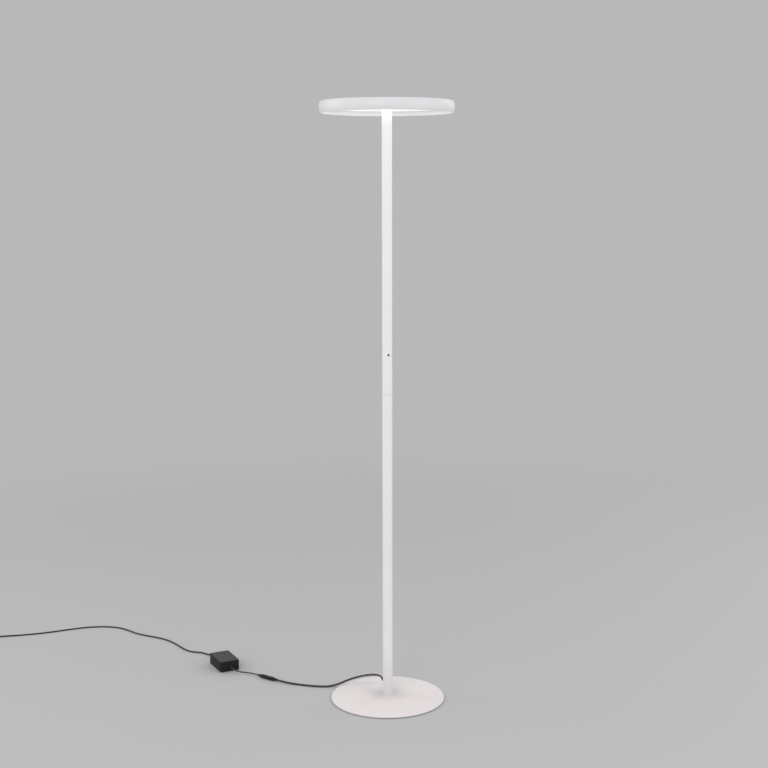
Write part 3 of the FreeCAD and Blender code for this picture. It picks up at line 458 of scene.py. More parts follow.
# plain plastics: colour, roughness, size and depth of the grain, specular
plainPlastics = {
    "boot_rubber": ("bootRubber", (0.013, 0.0125, 0.0135), 0.55, 0.0005, 0.00006, 0.3),
    "connector_plastic": ("connectorPlastic", (0.012, 0.0115, 0.0125), 0.45, 0.0006, 0.00004, 0.3),
    # the bottom shell is darker than the top shell, as painted shade
    "case_bottom_plastic": ("caseBottomPlastic", (0.009, 0.0085, 0.0095), 0.5, 0.0008, 0.0001, 0.25),
    "button_plastic": ("buttonPlastic", (0.05, 0.05, 0.053), 0.4, 0.0003, 0.00002, 0.4),
    "switch_plastic": ("switchPlastic", (0.03, 0.03, 0.03), 0.4, 0.0004, 0.00003, 0.4),
    "components": ("componentEpoxy", (0.03, 0.03, 0.034), 0.4, 0.0006, 0.00004, 0.4),
    "light_chip": ("lightChip", (0.7, 0.55, 0.16), 0.35, 0.0004, 0.00003, 0.4),
    "terminal_plastic": ("terminalPlastic", (0.6, 0.6, 0.57), 0.45, 0.0006, 0.00003, 0.4),
    "wire_insulation": ("wireInsulation", (0.4, 0.03, 0.025), 0.4, 0.0008, 0.00003, 0.4),
    "inner_cable_jacket": ("innerCableJacket", (0.6, 0.6, 0.58), 0.45, 0.0008, 0.00003, 0.4),
    "carrier_plastic": ("carrierPlastic", (0.56, 0.56, 0.54), 0.45, 0.0008, 0.00004, 0.4),
}
for finish, (name, colour, rough, size, depth, gloss) in plainPlastics.items():
    finishes[finish] = plastic(name, colour=colour, roughness=rough, grainSize=size, grainDepth=depth,
                               specular=gloss)
# a node has the finish of its slot in the frame's record, apart from these
otherFinish = {"tube_coupler": "turned_aluminium", "diffuser_retainer": "lining_paint",
               "upper_spacer": "plate_aluminium", "upper_diffuser": "up_opal"}
nodeSlot = {part["node"]: part["material_slot"] for part in frame["record"]["subparts"]}
for name, node in nodes.items():
    finish = finishes[otherFinish.get(name, nodeSlot[name])]
    if not node.material_slots:
        node.data.materials.append(finish)
    for place in node.material_slots:
        place.material = finish
print("finishes made:", len(finishes))


# helpers for meshes

def addPiece(name, data, body, finish, *replaced, slot=None):
    piece = bpy.data.objects.new(name, data)
    scene.collection.objects.link(piece)
    data.materials.clear()
    data.materials.append(finishes[finish])
    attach(piece, body)
    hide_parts(*replaced)
    return piece


def arcThrough(first, middle, last, steps):
    # points on the arc through three profile points, the first left out
    (ax, ay), (bx, by), (cx, cy) = first, middle, last
    d = 2 * (ax * (by - cy) + bx * (cy - ay) + cx * (ay - by))
    a2, b2, c2 = ax * ax + ay * ay, bx * bx + by * by, cx * cx + cy * cy
    ux = (a2 * (by - cy) + b2 * (cy - ay) + c2 * (ay - by)) / d
    uy = (a2 * (cx - bx) + b2 * (ax - cx) + c2 * (bx - ax)) / d
    start, end = math.atan2(ay - uy, ax - ux), math.atan2(cy - uy, cx - ux)
    turn = math.copysign(1, (bx - ax) * (cy - ay) - (by - ay) * (cx - ax))
    sweep = (end - start) * turn % (2 * math.pi)
    radius = math.hypot(ax - ux, ay - uy)
    points = []
    for step in range(1, steps + 1):
        angle = start + turn * sweep * step / steps
        points.append((ux + radius * math.cos(angle), uy + radius * math.sin(angle)))
    return points


def quarterRound(radius, height, edge, steps):
    # up from (radius, height - edge) and in to (radius - edge, height), the first point left out
    lift = edge * (1 - math.sqrt(0.5))
    middle = (radius - lift, height - lift)
    return arcThrough((radius, height - edge), middle, (radius - edge, height), steps)


def easedSection(inner, outer, low, high, edge):
    # section of a flat ring or strap with its four corners eased
    return [(inner + edge, low), (outer - edge, low), (outer, low + edge), (outer, high - edge),
            (outer - edge, high), (inner + edge, high), (inner, high - edge), (inner, low + edge)]


def smoothMesh(bm, name, sharpAngle=35):
    bmesh.ops.recalc_face_normals(bm, faces=bm.faces)
    for face in bm.faces:
        face.smooth = True
    mesh = bpy.data.meshes.new(name)
    bm.to_mesh(mesh)
    bm.free()
    mesh.set_sharp_from_angle(angle=math.radians(sharpAngle))
    return mesh


def latheMesh(name, profile, steps, place=Matrix.Identity(4), marks=None, closed=True, shape=None):
    # profile of (radius, height) in millimetres; an attribute in marks is 1 on the points it lists
    bm = bmesh.new()
    layers = {label: bm.verts.layers.float.new(label) for label in marks or {}}
    rings = []
    for index, (radius, height) in enumerate(profile):
        ring = []
        onAxis = radius < 1e-6
        for step in range(1 if onAxis else steps):
            angle = 2 * math.pi * step / steps
            point = Vector((radius * math.cos(angle), radius * math.sin(angle), height))
            vert = bm.verts.new(shape(point, index) if shape else point)
            for label, layer in layers.items():
                vert[layer] = float(index in marks[label])
            ring.append(vert)
        rings.append(ring)
    pairs = list(zip(rings, rings[1:]))
    if closed:
        pairs.append((rings[-1], rings[0]))
    for low, high in pairs:
        for step in range(steps):
            corners = [low[step % len(low)], low[(step + 1) % len(low)],
                       high[(step + 1) % len(high)], high[step % len(high)]]
            corners = list(dict.fromkeys(corners))
            if len(corners) > 2:
                bm.faces.new(corners)
    bm.transform(place @ Matrix.Scale(mm, 4))
    return smoothMesh(bm, name)


def levelAxis(height, degrees):
    # turns a lathe's axis level at this height: 90 points it to the front, -90 to the back
    return Matrix.Translation((0, 0, height * mm)) @ Matrix.Rotation(math.radians(degrees), 4, "X")


# pressed cover of the base, a low crown with a rolled edge

baseSizes = {"radius": 173.0, "floor": 1.2, "rim": 6.3, "centre": 11.0, "land": 24.0, "edge": 2.0,
             "wall": 1.2, "crownShare": 0.66, "hole": 5.05, "hem": 0.3, "edgeSteps": 8, "crownSteps": 28,
             "steps": 256}


def crownProfile(sizes, inset):
    radius, rim, centre, edge = (size - inset for size in pick(sizes, "radius rim centre edge"))
    shoulder, land = (radius - edge, rim), (sizes["land"], centre)
    middle = ((shoulder[0] + land[0]) / 2, rim + sizes["crownShare"] * (centre - rim))
    points = [(radius, sizes["floor"]), (radius, rim - edge)]
    points += quarterRound(radius, rim, edge, sizes["edgeSteps"])
    points += arcThrough(shoulder, middle, land, sizes["crownSteps"])
    return points + [(sizes["hole"], centre)]


def makeBase(sizes):
    outer = crownProfile(sizes, 0.0)
    inner = crownProfile(sizes, sizes["wall"])
    radius, floor, hem = pick(sizes, "radius floor hem")
    profile = [(radius - hem, floor), (radius, floor + hem), outer[1]]
    edgeStart = len(profile)
    profile += outer[2:] + inner[::-1]
    marks = {"edgeRub": range(edgeStart, edgeStart + sizes["edgeSteps"])}
    mesh = latheMesh("baseCover", profile, sizes["steps"], marks=marks)
    addPiece("baseCover", mesh, "lamp", "base_paint", "base_cover")


makeBase(baseSizes)

padSizes = {"inner": 30.0, "outer": 165.0, "low": 0.0, "high": 2.0, "edge": 0.6, "steps": 128}


def makePad(sizes):
    profile = easedSection(*pick(sizes, "inner outer low high edge"))
    addPiece("feltPad", latheMesh("feltPad", profile, sizes["steps"]), "lamp", "felt", "base_pad")


makePad(padSizes)
print("base made")


# pole: the two tubes with their own holes, shaded as one round surface

poleSizes = {"merge": 0.01, "radii": (13.5, 15.0), "splits": 2, "bow": 0.08, "facing": 0.95,
             "tubes": {"lowerTube": "lower_tube", "upperTube": "upper_tube"}}


def splitSides(bm, sizes):
    # finer sides: the new points move out from the flats to the round
    bmesh.ops.subdivide_edges(bm, edges=bm.edges, cuts=1, use_grid_fill=True)
    for vert in bm.verts:
        reach = vert.co.xy.length
        for radius in sizes["radii"]:
            if 0 < radius * mm - reach < sizes["bow"] * mm:
                vert.co.xy *= radius * mm / reach


def makeTube(name, node, sizes):
    bm = bmesh.new()
    bm.from_mesh(nodes[node].data)
    bmesh.ops.remove_doubles(bm, verts=bm.verts, dist=sizes["merge"] * mm)
    for _ in range(sizes["splits"]):
        splitSides(bm, sizes)
    mesh = smoothMesh(bm, name)
    normals = [Vector()] * len(mesh.loops)  # a zero keeps the mesh's own normal
    for face in mesh.polygons:
        if face.normal.dot(Vector((face.center.x, face.center.y, 0)).normalized()) > sizes["facing"]:
            for corner in face.loop_indices:
                point = mesh.vertices[mesh.loops[corner].vertex_index].co
                normals[corner] = Vector((point.x, point.y, 0)).normalized()
    mesh.normals_split_custom_set(normals)
    addPiece(name, mesh, "lamp", "pole_paint", node)


for tubeName, tubeNode in poleSizes["tubes"].items():
    makeTube(tubeName, tubeNode, poleSizes)
print("pole made")


# hoop of the head: convex side, rolled lips, inner rib

hoopSizes = {"inner": 192.0, "lip": 193.8, "bulge": 197.2, "low": 1766.0, "high": 1800.0, "ribTop": 1788.0,
             "ribBottom": 1783.0, "rib": 186.0, "lipSteps": 10, "sideSteps": 24, "steps": 320}


def makeHoop(sizes):
    inner, lip, rib, top, bottom = pick(sizes, "inner lip rib ribTop ribBottom")
    roll = (lip - inner) / 2
    low, high = sizes["low"] + roll, sizes["high"] - roll
    profile = [(inner, low)]
    profile += arcThrough((inner, low), (inner + roll, sizes["low"]), (lip, low), sizes["lipSteps"])
    lowLip = len(profile)
    profile += arcThrough((lip, low), (sizes["bulge"], (low + high) / 2), (lip, high), sizes["sideSteps"])
    highLip = len(profile)
    profile += arcThrough((lip, high), (inner + roll, sizes["high"]), (inner, high), sizes["lipSteps"])
    rubbed = [*range(2, lowLip), *range(highLip, len(profile) - 1)]  # both lips
    profile += [(inner, top), (rib, top), (rib, bottom), (inner, bottom)]
    # the inside of the hoop is marked for its paler paint, painted light from the diffuser
    marks = {"edgeRub": rubbed, "lining": (0, len(profile) - 1)}
    mesh = latheMesh("headHoop", profile, sizes["steps"], marks=marks)
    addPiece("headHoop", mesh, "lamp", "head_paint", "head_rim")


makeHoop(hoopSizes)

diffuserSizes = {"radius": 191.6, "hole": 15.3, "edge": 0.4, "lower": (1781.0, 1783.0),
                 "upper": (1795.5, 1797.5), "steps": 256}


def makeDiffusers(sizes):
    radius, edge, steps = pick(sizes, "radius edge steps")
    profile = easedSection(sizes["hole"], radius, *sizes["lower"], edge)
    mesh = latheMesh("readingDiffuser", profile, steps)
    addPiece("readingDiffuser", mesh, "lamp", "opal", "lower_diffuser")
    low, high = sizes["upper"]
    profile = [(0, low), (radius - edge, low), (radius, low + edge), (radius, high - edge),
               (radius - edge, high), (0, high)]
    mesh = latheMesh("upDiffuser", profile, steps, closed=False)
    addPiece("upDiffuser", mesh, "lamp", "up_opal", "upper_diffuser", slot="opal")


makeDiffusers(diffuserSizes)
print("head made")


# dimmer button with a dished face

buttonSizes = {"height": 1062.0, "cap": 3.0, "face": 16.2, "edge": 0.5, "edgeSteps": 5, "dish": 0.3,
               "dishRadius": 2.3, "dishSteps": 5, "flange": 4.4, "flangeFront": 12.46, "flangeBack": 11.46,
               "stem": 2.2, "stemEnd": 9.0, "steps": 48}


def makeButton(sizes):
    cap, face, edge, stem, stemEnd, flange = pick(sizes, "cap face edge stem stemEnd flange")
    front, back, dish, dishRadius = pick(sizes, "flangeFront flangeBack dish dishRadius")
    profile = [(0, stemEnd), (stem, stemEnd), (stem, back), (flange, back), (flange, front), (cap, front),
               (cap, face - edge)]
    profile += quarterRound(cap, face, edge, sizes["edgeSteps"])
    for step in range(sizes["dishSteps"] + 1):
        share = step / sizes["dishSteps"]
        profile.append((dishRadius * (1 - share), face - dish * math.sin(share * math.pi / 2)))
    mesh = latheMesh("dimmerButton", profile, sizes["steps"], levelAxis(sizes["height"], 90), closed=False)
    addPiece("dimmerButton", mesh, "dimmer_button", "button_plastic", "dimmer_button")


makeButton(buttonSizes)
print("button made")


# strain reliefs: a tapered sleeve with raised ribs along it

sleeveLengths = ("Root Radius", "Tip Radius", "Length", "Tail Length", "Rib Start", "Rib Pitch", "Rib Width",
                 "Groove Depth")
sleeveCounts = ("Rib Count", "Segments")
sleeveSizes = {  # the lengths in millimetres, then the counts
    "cableGland": ((6.6, 4.6, 42.5, 9.2, 3.25, 6.5, 4.9, 0.8), (5, 48)),
    "socketHalf": ((5.2, 3.8, 16.0, 3.6, 1.7, 3.0, 2.1, 0.4), (4, 48)),
    "plugHalf": ((5.2, 2.8, 16.0, 3.6, 1.7, 3.0, 2.1, 0.4), (4, 48)),
    "dcBoot": ((4.2, 2.7, 10.0, 2.6, 1.35, 2.3, 1.6, 0.35), (3, 40)),
    "mainsBoot": ((5.2, 3.2, 20.0, 4.4, 1.7, 3.0, 2.1, 0.45), (5, 40)),
}
sleeveShape = {"ribRound": 0.6, "ribRoundSteps": 3, "sharpAngle": 40}


def sleeveInputs(tree):
    kinds = {"Geometry": "Geometry", **dict.fromkeys(sleeveLengths, "Float"),
             **dict.fromkeys(sleeveCounts, "Int"), "Finish": "Material"}
    for label, kind in kinds.items():
        tree.interface.new_socket(label, in_out="INPUT", socket_type="NodeSocket" + kind)
    tree.interface.new_socket("Geometry", in_out="OUTPUT", socket_type="NodeSocketGeometry")
    return tree.nodes.new("NodeGroupInput").outputs, tree.nodes.new("NodeGroupOutput").inputs


def makeSleeveTree(shape):
    tree = bpy.data.node_groups.new("ribbedSleeve", "GeometryNodeTree")
    given, end = sleeveInputs(tree)
    root, tip, length, tailLength = (given[label] for label in sleeveLengths[:4])
    depth, segments = given["Groove Depth"], given["Segments"]
    coreRoot = calc("SUBTRACT", root, depth)

    def radiusAt(height):
        slope = calc("DIVIDE", calc("SUBTRACT", tip, root), length)
        return calc("ADD", root, calc("MULTIPLY", slope, height))

    def vector(**parts):
        return fedNode("ShaderNodeCombineXYZ", parts).outputs[0]

    def cone(bottom, top, height):
        values = {"Vertices": segments, "Radius Bottom": bottom, "Radius Top": top, "Depth": height}
        return fedNode("GeometryNodeMeshCone", values).outputs["Mesh"]

    core = cone(coreRoot, calc("SUBTRACT", tip, depth), length)
    tailStart = calc("SUBTRACT", length, tailLength)
    tail = fedNode("GeometryNodeTransform", {
        "Geometry": cone(radiusAt(tailStart), tip, tailLength), "Translation": vector(Z=tailStart)})
    circle = fedNode("GeometryNodeCurvePrimitiveCircle", {"Resolution": segments, "Radius": coreRoot})
    section = fedNode("GeometryNodeCurvePrimitiveQuadrilateral", {
        "Width": calc("MULTIPLY", depth, 2.0), "Height": given["Rib Width"]})
    rounded = fedNode("GeometryNodeFilletCurve", {
        "Curve": section.outputs[0], "Radius": calc("MULTIPLY", depth, shape["ribRound"]),
        "Count": shape["ribRoundSteps"]}, mode="POLY")
    rib = fedNode("GeometryNodeCurveToMesh", {
        "Curve": circle.outputs["Curve"], "Profile Curve": rounded.outputs[0]})
    line = fedNode("GeometryNodeMeshLine", {
        "Count": given["Rib Count"], "Start Location": vector(Z=given["Rib Start"]),
        "Offset": vector(Z=given["Rib Pitch"])})
    height = heightOf(source(root, "GeometryNodeInputPosition", 0))
    size = calc("DIVIDE", calc("SUBTRACT", radiusAt(height), depth), coreRoot)
    ribs = fedNode("GeometryNodeInstanceOnPoints", {
        "Points": line.outputs["Mesh"], "Instance": rib.outputs["Mesh"],
        "Scale": vector(X=size, Y=size, Z=1.0)})
    joined = tree.nodes.new("GeometryNodeJoinGeometry")
    for part in (ribs.outputs[0], tail.outputs[0], core):
        link(part, joined.inputs[0])
    solid = fedNode("GeometryNodeRealizeInstances", {0: joined.outputs[0]})
    finished = fedNode("GeometryNodeSetMaterial", {
        "Geometry": solid.outputs[0], "Material": given["Finish"]})
    link(finished.outputs[0], end["Geometry"])
    return tree


sleeveTree = makeSleeveTree(sleeveShape)


def sleeveMesh(piece, finish, place):
    # the sleeve stands on its root and points along +Z before it is placed
    name = piece + "Sleeve"
    carrier = bpy.data.objects.new(name, bpy.data.meshes.new(name))
    scene.collection.objects.link(carrier)
    modifier = carrier.modifiers.new("sleeve", "NODES")
    modifier.node_group = sleeveTree
    keys = {socket.name: socket.identifier for socket in sleeveTree.interface.items_tree
            if socket.in_out == "INPUT"}
    lengths, counts = sleeveSizes[piece]
    for label, length in zip(sleeveLengths, lengths):
        modifier[keys[label]] = length * mm
    for label, count in zip(sleeveCounts, counts):
        modifier[keys[label]] = count
    modifier[keys["Finish"]] = finishes[finish]
    evaluated = carrier.evaluated_get(bpy.context.evaluated_depsgraph_get())
    mesh = bpy.data.meshes.new_from_object(evaluated)
    carrier.modifiers.clear()
    bpy.data.objects.remove(carrier)
    mesh.transform(place)
    mesh.shade_smooth()
    mesh.set_sharp_from_angle(angle=math.radians(sleeveShape["sharpAngle"]))
    return mesh


def along(start, direction):
    turn = Vector(direction).to_track_quat("Z", "Y").to_matrix().to_4x4()
    return Matrix.Translation(Vector(start) * mm) @ turn


def joinMeshes(name, parts):
    bm = bmesh.new()
    for part in parts:
        bm.from_mesh(part)
    mesh = bpy.data.meshes.new(name)
    bm.to_mesh(mesh)
    bm.free()
    return mesh


glandSizes = {"height": 40.0, "pole": 15.0, "flange": 8.5, "face": 17.5, "edge": 0.8, "edgeSteps": 5,
              "core": 13.0, "steps": 64}


def makeGland(sizes):
    flange, face, edge, height, steps = pick(sizes, "flange face edge height steps")

    def seat(point, index):
        if index == 1:  # this ring lies on the round of the pole
            point.z = math.sqrt(sizes["pole"] ** 2 - point.x ** 2)
        return point

    profile = [(0, sizes["core"]), (flange, face), (flange, face - edge)]
    profile += quarterRound(flange, face, edge, sizes["edgeSteps"]) + [(0, face)]
    saddle = latheMesh("glandSaddle", profile, steps, levelAxis(height, -90), closed=False, shape=seat)
    sleeve = sleeveMesh("cableGland", "boot_rubber", along((0, face, height), (0, 1, 0)))
    addPiece("cableGland", joinMeshes("cableGland", (saddle, sleeve)), "lamp", "boot_rubber", "cable_gland")


makeGland(glandSizes)
print("gland made")


# inline connector: two grips with finger rings, each with its own strain relief

connectorSizes = {
    "nearTip": (-302.7, 223.8, 6.2), "axis": (-0.625923, 0.779884, 0.0),
    "radius": 6.2, "edge": 0.5, "mouth": 0.3, "shoulder": 24.0, "shoulderRound": 1.2, "shoulderSteps": 6,
    "shoulderMiddle": (0.25, 0.42), "bootRoot": 5.2, "ringCount": 4, "ringStart": 6.0, "ringPitch": 4.0,
    "ringWidth": 1.4, "ringDepth": 0.5, "ringSlope": 0.25, "steps": 64,
    "socketHalf": {"face": 40.0, "side": -1, "bore": 2.85, "depth": 11.0},
    "plugHalf": {"face": 40.3, "side": 1, "bore": 2.8, "depth": 6.0},
}


def gripProfile(sizes, end):
    radius, mouth, edge, shoulder, slope = pick(sizes, "radius mouth edge shoulder ringSlope")
    start, pitch, width = pick(sizes, "ringStart ringPitch ringWidth")
    bore, depth, inner = end["bore"], end["depth"], radius - sizes["ringDepth"]
    profile = [(0, depth), (bore, depth), (bore, mouth), (bore + mouth, 0), (radius - edge, 0),
               (radius, edge)]
    for index in range(sizes["ringCount"]):
        low = start + pitch * index
        high = low + width
        profile += [(radius, low), (inner, low + slope), (inner, high - slope), (radius, high)]
    inward, down = sizes["shoulderMiddle"]
    profile.append((radius, shoulder - sizes["shoulderRound"]))
    profile += arcThrough(profile[-1], (radius - inward, shoulder - down), (sizes["bootRoot"], shoulder),
                          sizes["shoulderSteps"])
    return profile + [(0, shoulder)]


def makeConnectorHalf(name, sizes, body, replaced):
    end, axis = sizes[name], Vector(sizes["axis"])
    direction = axis * end["side"]
    face = Vector(sizes["nearTip"]) + axis * end["face"]
    root = face + direction * sizes["shoulder"]
    grip = latheMesh(name + "Grip", gripProfile(sizes, end), sizes["steps"], along(face, direction),
                     closed=False)
    sleeve = sleeveMesh(name, "connector_plastic", along(root, direction))
    return addPiece(name, joinMeshes(name, (grip, sleeve)), body, "connector_plastic", replaced)


socketHalf = makeConnectorHalf("socketHalf", connectorSizes, "lamp", "socket_body")
plugHalf = makeConnectorHalf("plugHalf", connectorSizes, "power_supply", "dc_plug_body")

adaptorSizes = {"place": (-443.0, 409.5, 18.25), "turn": 11.5, "half": 51.5}


def makeBoot(name, sizes, side, replaced):
    turn = math.radians(sizes["turn"] + 90)
    direction = Vector((math.cos(turn), math.sin(turn), 0)) * side
    wall = Vector(sizes["place"]) + direction * sizes["half"]
    mesh = sleeveMesh(name, "boot_rubber", along(wall, direction))
    return addPiece(name, mesh, "power_supply", "boot_rubber", replaced)


dcBoot = makeBoot("dcBoot", adaptorSizes, -1, "dc_boot")
mainsBoot = makeBoot("mainsBoot", adaptorSizes, 1, "mains_boot")
print("connector and boots made")


# low head of the screw behind the dimmer, with a hexagon recess

screwSizes = {"height": 1075.0, "seat": 15.05, "face": 16.85, "head": 2.8, "crown": 1.1,
              "crownMiddle": (0.3, 0.35), "crownSteps": 6, "hex": 1.25, "hexDepth": 1.0, "hexBevel": 0.1,
              "hexFlare": 1.2, "shank": 1.5, "shankEnd": 6.0, "steps": 48}


def makeScrew(sizes):
    head, face, seat, flat, crown = pick(sizes, "head face seat hex crown")
    shank, end, bevel, flare = pick(sizes, "shank shankEnd hexBevel hexFlare")

    def hexRing(point, index):
        if index in (1, 2):  # the walls of the recess
            angle = (math.atan2(point.y, point.x) + math.pi / 6) % (math.pi / 3) - math.pi / 6
            point.xy = point.xy / math.cos(angle)
        return point

    floor, (inward, down) = face - sizes["hexDepth"], sizes["crownMiddle"]
    profile = [(0, floor), (flat, floor), (flat, face - bevel), (flat * flare, face), (head - crown, face)]
    profile += arcThrough(profile[-1], (head - inward, face - down), (head, face - crown),
                          sizes["crownSteps"])
    profile += [(head, seat), (shank, seat), (shank, end), (0, end)]
    mesh = latheMesh("carrierScrew", profile, sizes["steps"], levelAxis(sizes["height"], -90), closed=False,
                     shape=hexRing)
    addPiece("carrierScrew", mesh, "lamp", "steel", "carrier_screw")


makeScrew(screwSizes)


# strap round the coiled lead, its free end laid over its start

tieSizes = {"left": -1240.3, "right": -1219.93, "low": 0.4, "high": 12.4, "corner": 2.1, "cornerSteps": 8,
            "middle": 880.0, "width": 9.0, "thickness": 0.75, "edge": 0.2, "lapStart": 0.4, "lap": 9.0,
            "lapRamp": 10, "lapLift": 1.05, "endSteps": 4, "endTaper": 0.25, "step": 0.8, "sharpAngle": 50}


def tieLoop(sizes):
    # points and outward directions round the strap's middle line, from the top near the right side
    left, right, low, high, corner = pick(sizes, "left right low high corner")
    loop = []

    def run(first, last, outward):
        count = max(1, round((last - first).length / sizes["step"]))
        loop.extend((first.lerp(last, i / count), outward) for i in range(count))

    def pointing(degrees):
        return Vector((math.cos(math.radians(degrees)), math.sin(math.radians(degrees))))

    at = start = Vector((right + (left - right) * sizes["lapStart"], high))
    middles = ((left + corner, high - corner), (left + corner, low + corner), (right - corner, low + corner),
               (right - corner, high - corner))
    for turn, middle in zip((90, 180, 270, 360), map(Vector, middles)):
        run(at, middle + pointing(turn) * corner, pointing(turn))
        for i in range(sizes["cornerSteps"]):
            outward = pointing(turn + 90 * i / sizes["cornerSteps"])
            loop.append((middle + outward * corner, outward))
        at = middle + pointing(turn + 90) * corner
    run(at, start, pointing(90))
    return loop


def makeTie(sizes):
    loop = tieLoop(sizes)
    count, lapCount = len(loop), round(sizes["lap"] / sizes["step"])
    ramp, endSteps = sizes["lapRamp"], sizes["endSteps"]
    half, thick = sizes["width"] / 2, sizes["thickness"] / 2
    *others, first = easedSection(-half, half, -thick, thick, sizes["edge"])
    section = [first, *others]
    sides = len(section)
    bm = bmesh.new()
    uv = bm.loops.layers.uv.new("UVMap")
    rings = []
    for index in range(count + lapCount):
        point, outward = loop[index % count]
        raised = min(1.0, max(0.0, (index - count + ramp) / ramp)) * sizes["thickness"] * sizes["lapLift"]
        towardsEnd = max(0.0, (index - count - lapCount + endSteps) / endSteps)
        narrow = 1 - sizes["endTaper"] * towardsEnd ** 2  # the free end is rounded off
        ring = []
        for across, out in section:
            at = point + outward * (out + raised)
            ring.append(bm.verts.new((at.x, sizes["middle"] + across * narrow, at.y)))
        rings.append(ring)
    for index, (first, last) in enumerate(zip(rings, rings[1:])):
        for side in range(sides):
            following = (side + 1) % sides
            face = bm.faces.new((first[side], first[following], last[following], last[side]))
            places = ((0, side), (0, side + 1), (1, side + 1), (1, side))
            for corner, (step, place) in zip(face.loops, places):
                corner[uv].uv = ((index + step) * sizes["step"] / sizes["width"], place / sides)
    bm.faces.new(rings[0])
    bm.faces.new(rings[-1])
    bm.transform(Matrix.Scale(mm, 4))
    mesh = smoothMesh(bm, "coilTie", sizes["sharpAngle"])
    return addPiece("coilTie", mesh, "power_supply", "strap", "coil_tie", slot="connector_plastic")


coilTie = makeTie(tieSizes)
print("screw and tie made")


# leads, each one smooth line through its route's points

lampLeadSizes = {
    "diameter": 0.006, "length": 0.3797,
    "route": [
        (0, 0.06, 0.04), (0, 0.077, 0.04), (-0.007, 0.1005, 0.0385), (-0.027, 0.1215, 0.0335),
        (-0.059, 0.135, 0.0255), (-0.095, 0.134, 0.018), (-0.125, 0.131, 0.0085),
        (-0.153, 0.1325, 0.0035), (-0.18, 0.14, 0.003), (-0.208, 0.1535, 0.003), (-0.238, 0.172, 0.003),
        (-0.267, 0.193, 0.0033), (-0.28893, 0.206643, 0.0062), (-0.3027, 0.2238, 0.0062),
    ],
}
dcLeadSizes = {
    "diameter": 0.004, "length": 0.1099,
    "route": [
        (-0.352962, 0.286425, 0.0062), (-0.359221, 0.294224, 0.0062), (-0.3675, 0.3048, 0.0058),
        (-0.377, 0.3155, 0.0052), (-0.3885, 0.3225, 0.0052), (-0.4012, 0.3252, 0.0068),
        (-0.4132, 0.327, 0.0104), (-0.423, 0.3306, 0.0148), (-0.428745, 0.339436, 0.01825),
        (-0.430739, 0.349235, 0.01825),
    ],
}
mainsLeadSizes = {
    "diameter": 0.005, "length": 1.8,
    "route": [
        (-0.457255, 0.479565, 0.01825), (-0.459647, 0.491324, 0.01825), (-0.4633, 0.505, 0.014),
        (-0.4686, 0.5162, 0.0082), (-0.475, 0.527, 0.0038), (-0.4818, 0.5385, 0.0025),
        (-0.49, 0.551, 0.0025), (-0.5015, 0.5618, 0.0025), (-0.517, 0.57, 0.0025),
        (-0.534, 0.582, 0.0025), (-0.549, 0.607, 0.0025), (-0.562, 0.645, 0.0025),
        (-0.5785, 0.69, 0.0025), (-0.598, 0.727, 0.0025), (-0.625, 0.757, 0.0025), (-0.66, 0.789, 0.0025),
        (-0.692, 0.822, 0.0025), (-0.713, 0.86, 0.0025), (-0.737, 0.896, 0.0025), (-0.773, 0.922, 0.0025),
        (-0.818, 0.936, 0.0025), (-0.868, 0.938, 0.0025), (-0.92, 0.93, 0.0025), (-0.974, 0.919, 0.0025),
        (-1.03, 0.9115, 0.0025), (-1.086, 0.911, 0.0025), (-1.132, 0.913, 0.003),
        (-1.166, 0.9135, 0.0036), (-1.2, 0.9135, 0.0036),
    ],
    "coilCentre": (-1.205, 0.88),
    "coilRadii": (0.0335, 0.0307, 0.0279, 0.0251, 0.0223, 0.0195, 0.0167, 0.0223, 0.0251, 0.0279, 0.0307),
    "coilLevels": (0.0036, 0.0092), "climbStep": 5, "pointsPerHalfTurn": 8, "tail": 0.021,
}


def coilPoints(sizes):
    # half turns between the radii, in along the floor and out on top of them
    count, radii, tail = pick(sizes, "pointsPerHalfTurn coilRadii tail")
    outward = 1 / math.cos(math.pi / (2 * count))
    low, high = sizes["coilLevels"]
    centreX, centreY = sizes["coilCentre"]
    points = []
    for step, (first, last) in enumerate(zip(radii, radii[1:])):
        for index in range(count):
            share = index / count
            radius = (first + (last - first) * share) * outward
            angle = math.pi * (step + share)
            climb = share if step == sizes["climbStep"] else float(step > sizes["climbStep"])
            level = low + (high - low) * climb
            points.append((centreX - radius * math.sin(angle), centreY + radius * math.cos(angle), level))
    return points + [(centreX - run, centreY + radii[-1], high) for run in (0.0, tail / 2, tail)]


leadDetail = {"stepsPerPoint": 10, "bevelSteps": 5}


def layLead(name, sizes, body, *replaced):
    points = sizes["route"] + (coilPoints(sizes) if "coilRadii" in sizes else [])
    curve = bpy.data.curves.new(name, "CURVE")
    curve.dimensions = "3D"
    spline = curve.splines.new("NURBS")
    spline.points.add(len(points) - 1)
    for control, point in zip(spline.points, points):
        control.co = (*point, 1.0)
    spline.order_u = 3
    spline.use_endpoint_u = True
    spline.resolution_u = leadDetail["stepsPerPoint"]
    curve.bevel_depth = sizes["diameter"] / 2
    curve.bevel_resolution = leadDetail["bevelSteps"]
    curve.use_fill_caps = True
    return addPiece(name, curve, body, "lead_jacket", *replaced)


lampLead = layLead("lampLead", lampLeadSizes, "lamp", "lamp_lead")
dcLead = layLead("dcLead", dcLeadSizes, "power_supply", "dc_lead")
mainsLead = layLead("mainsLead", mainsLeadSizes, "power_supply", "mains_lead", "mains_coil")
print("leads laid")


# floor and light

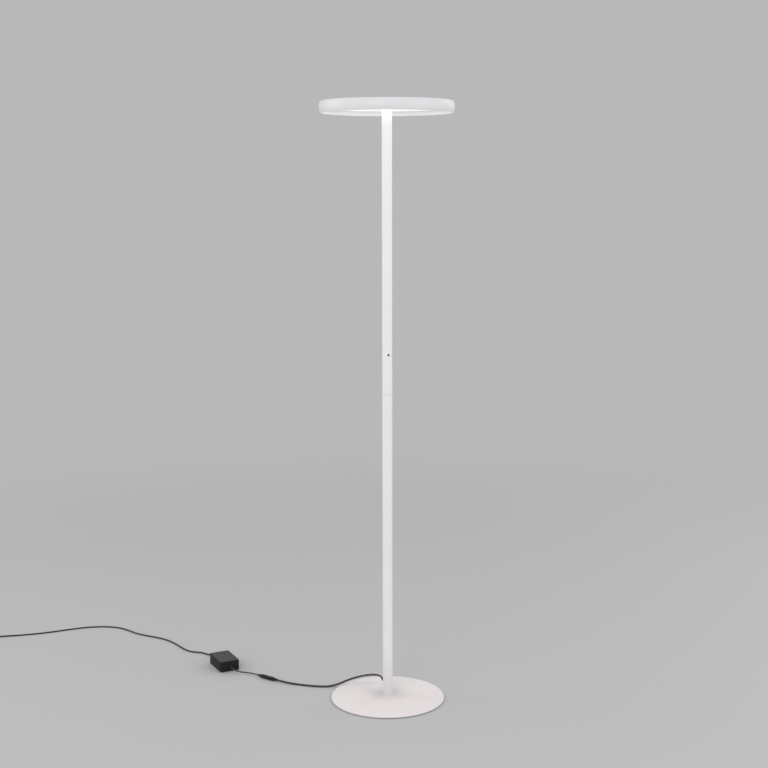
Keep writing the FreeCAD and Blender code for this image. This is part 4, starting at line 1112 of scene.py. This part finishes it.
stageSizes = {
    "floorRadius": 7.0, "floorSides": 96, "floorColour": (0.46, 0.456, 0.46), "floorRoughness": 0.65,
    "fadeReach": (1.7, 4.2), "backdrop": (0.48, 0.48, 0.49), "ambient": (0.78, 0.78, 0.78),
    "lights": {  # place, size, power
        "keyLight": ((-2.6, -3.7, 2.2), 3.0, 66.0),
        "fillLight": ((3.1, -2.8, 2.0), 2.8, 39.0),
        "leftEdge": ((-3.8, 1.6, 2.4), 2.8, 37.0),
        "rightEdge": ((3.8, 1.4, 2.4), 2.8, 28.0),
    },
    "aim": (0.0, 0.0, 0.7),
}


def makeFloor(sizes):
    bm = bmesh.new()
    bmesh.ops.create_circle(bm, cap_ends=True, segments=sizes["floorSides"], radius=sizes["floorRadius"])
    floor = bpy.data.objects.new("floor", smoothMesh(bm, "floor"))
    scene.collection.objects.link(floor)
    material, shader, coords = startMaterial("paleFloor")
    shader["Base Color"].default_value = opaque(sizes["floorColour"])
    shader["Roughness"].default_value = sizes["floorRoughness"]
    fade = spread(radiusOf(coords["Object"]), *sizes["fadeReach"], 1.0, 0.0)
    below = source(fade, "ShaderNodeNewGeometry", "Backfacing")  # open to a look from underneath
    link(calc("MULTIPLY", fade, calc("SUBTRACT", 1.0, below)), shader["Alpha"])
    floor.data.materials.append(material)


def makeLight(sizes):
    world = bpy.data.worlds.new("studio")
    scene.world = world
    world.use_nodes = True
    tree = world.node_tree
    path = tree.nodes.new("ShaderNodeLightPath").outputs
    seen = calc("MAXIMUM", calc("MAXIMUM", path["Is Camera Ray"], path["Is Glossy Ray"]),
                path["Is Transmission Ray"])
    colour = blendColour(seen, opaque(sizes["ambient"]), opaque(sizes["backdrop"]))
    link(colour, tree.nodes["Background"].inputs["Color"])
    for name, (place, size, power) in sizes["lights"].items():
        data = bpy.data.lights.new(name, "AREA")
        data.shape = "DISK"
        data.size = size
        data.energy = power
        lamp = bpy.data.objects.new(name, data)
        scene.collection.objects.link(lamp)
        lamp.location = place
        lamp.rotation_euler = (Vector(sizes["aim"]) - Vector(place)).to_track_quat("-Z", "Y").to_euler()


makeFloor(stageSizes)
makeLight(stageSizes)
print("stage set")
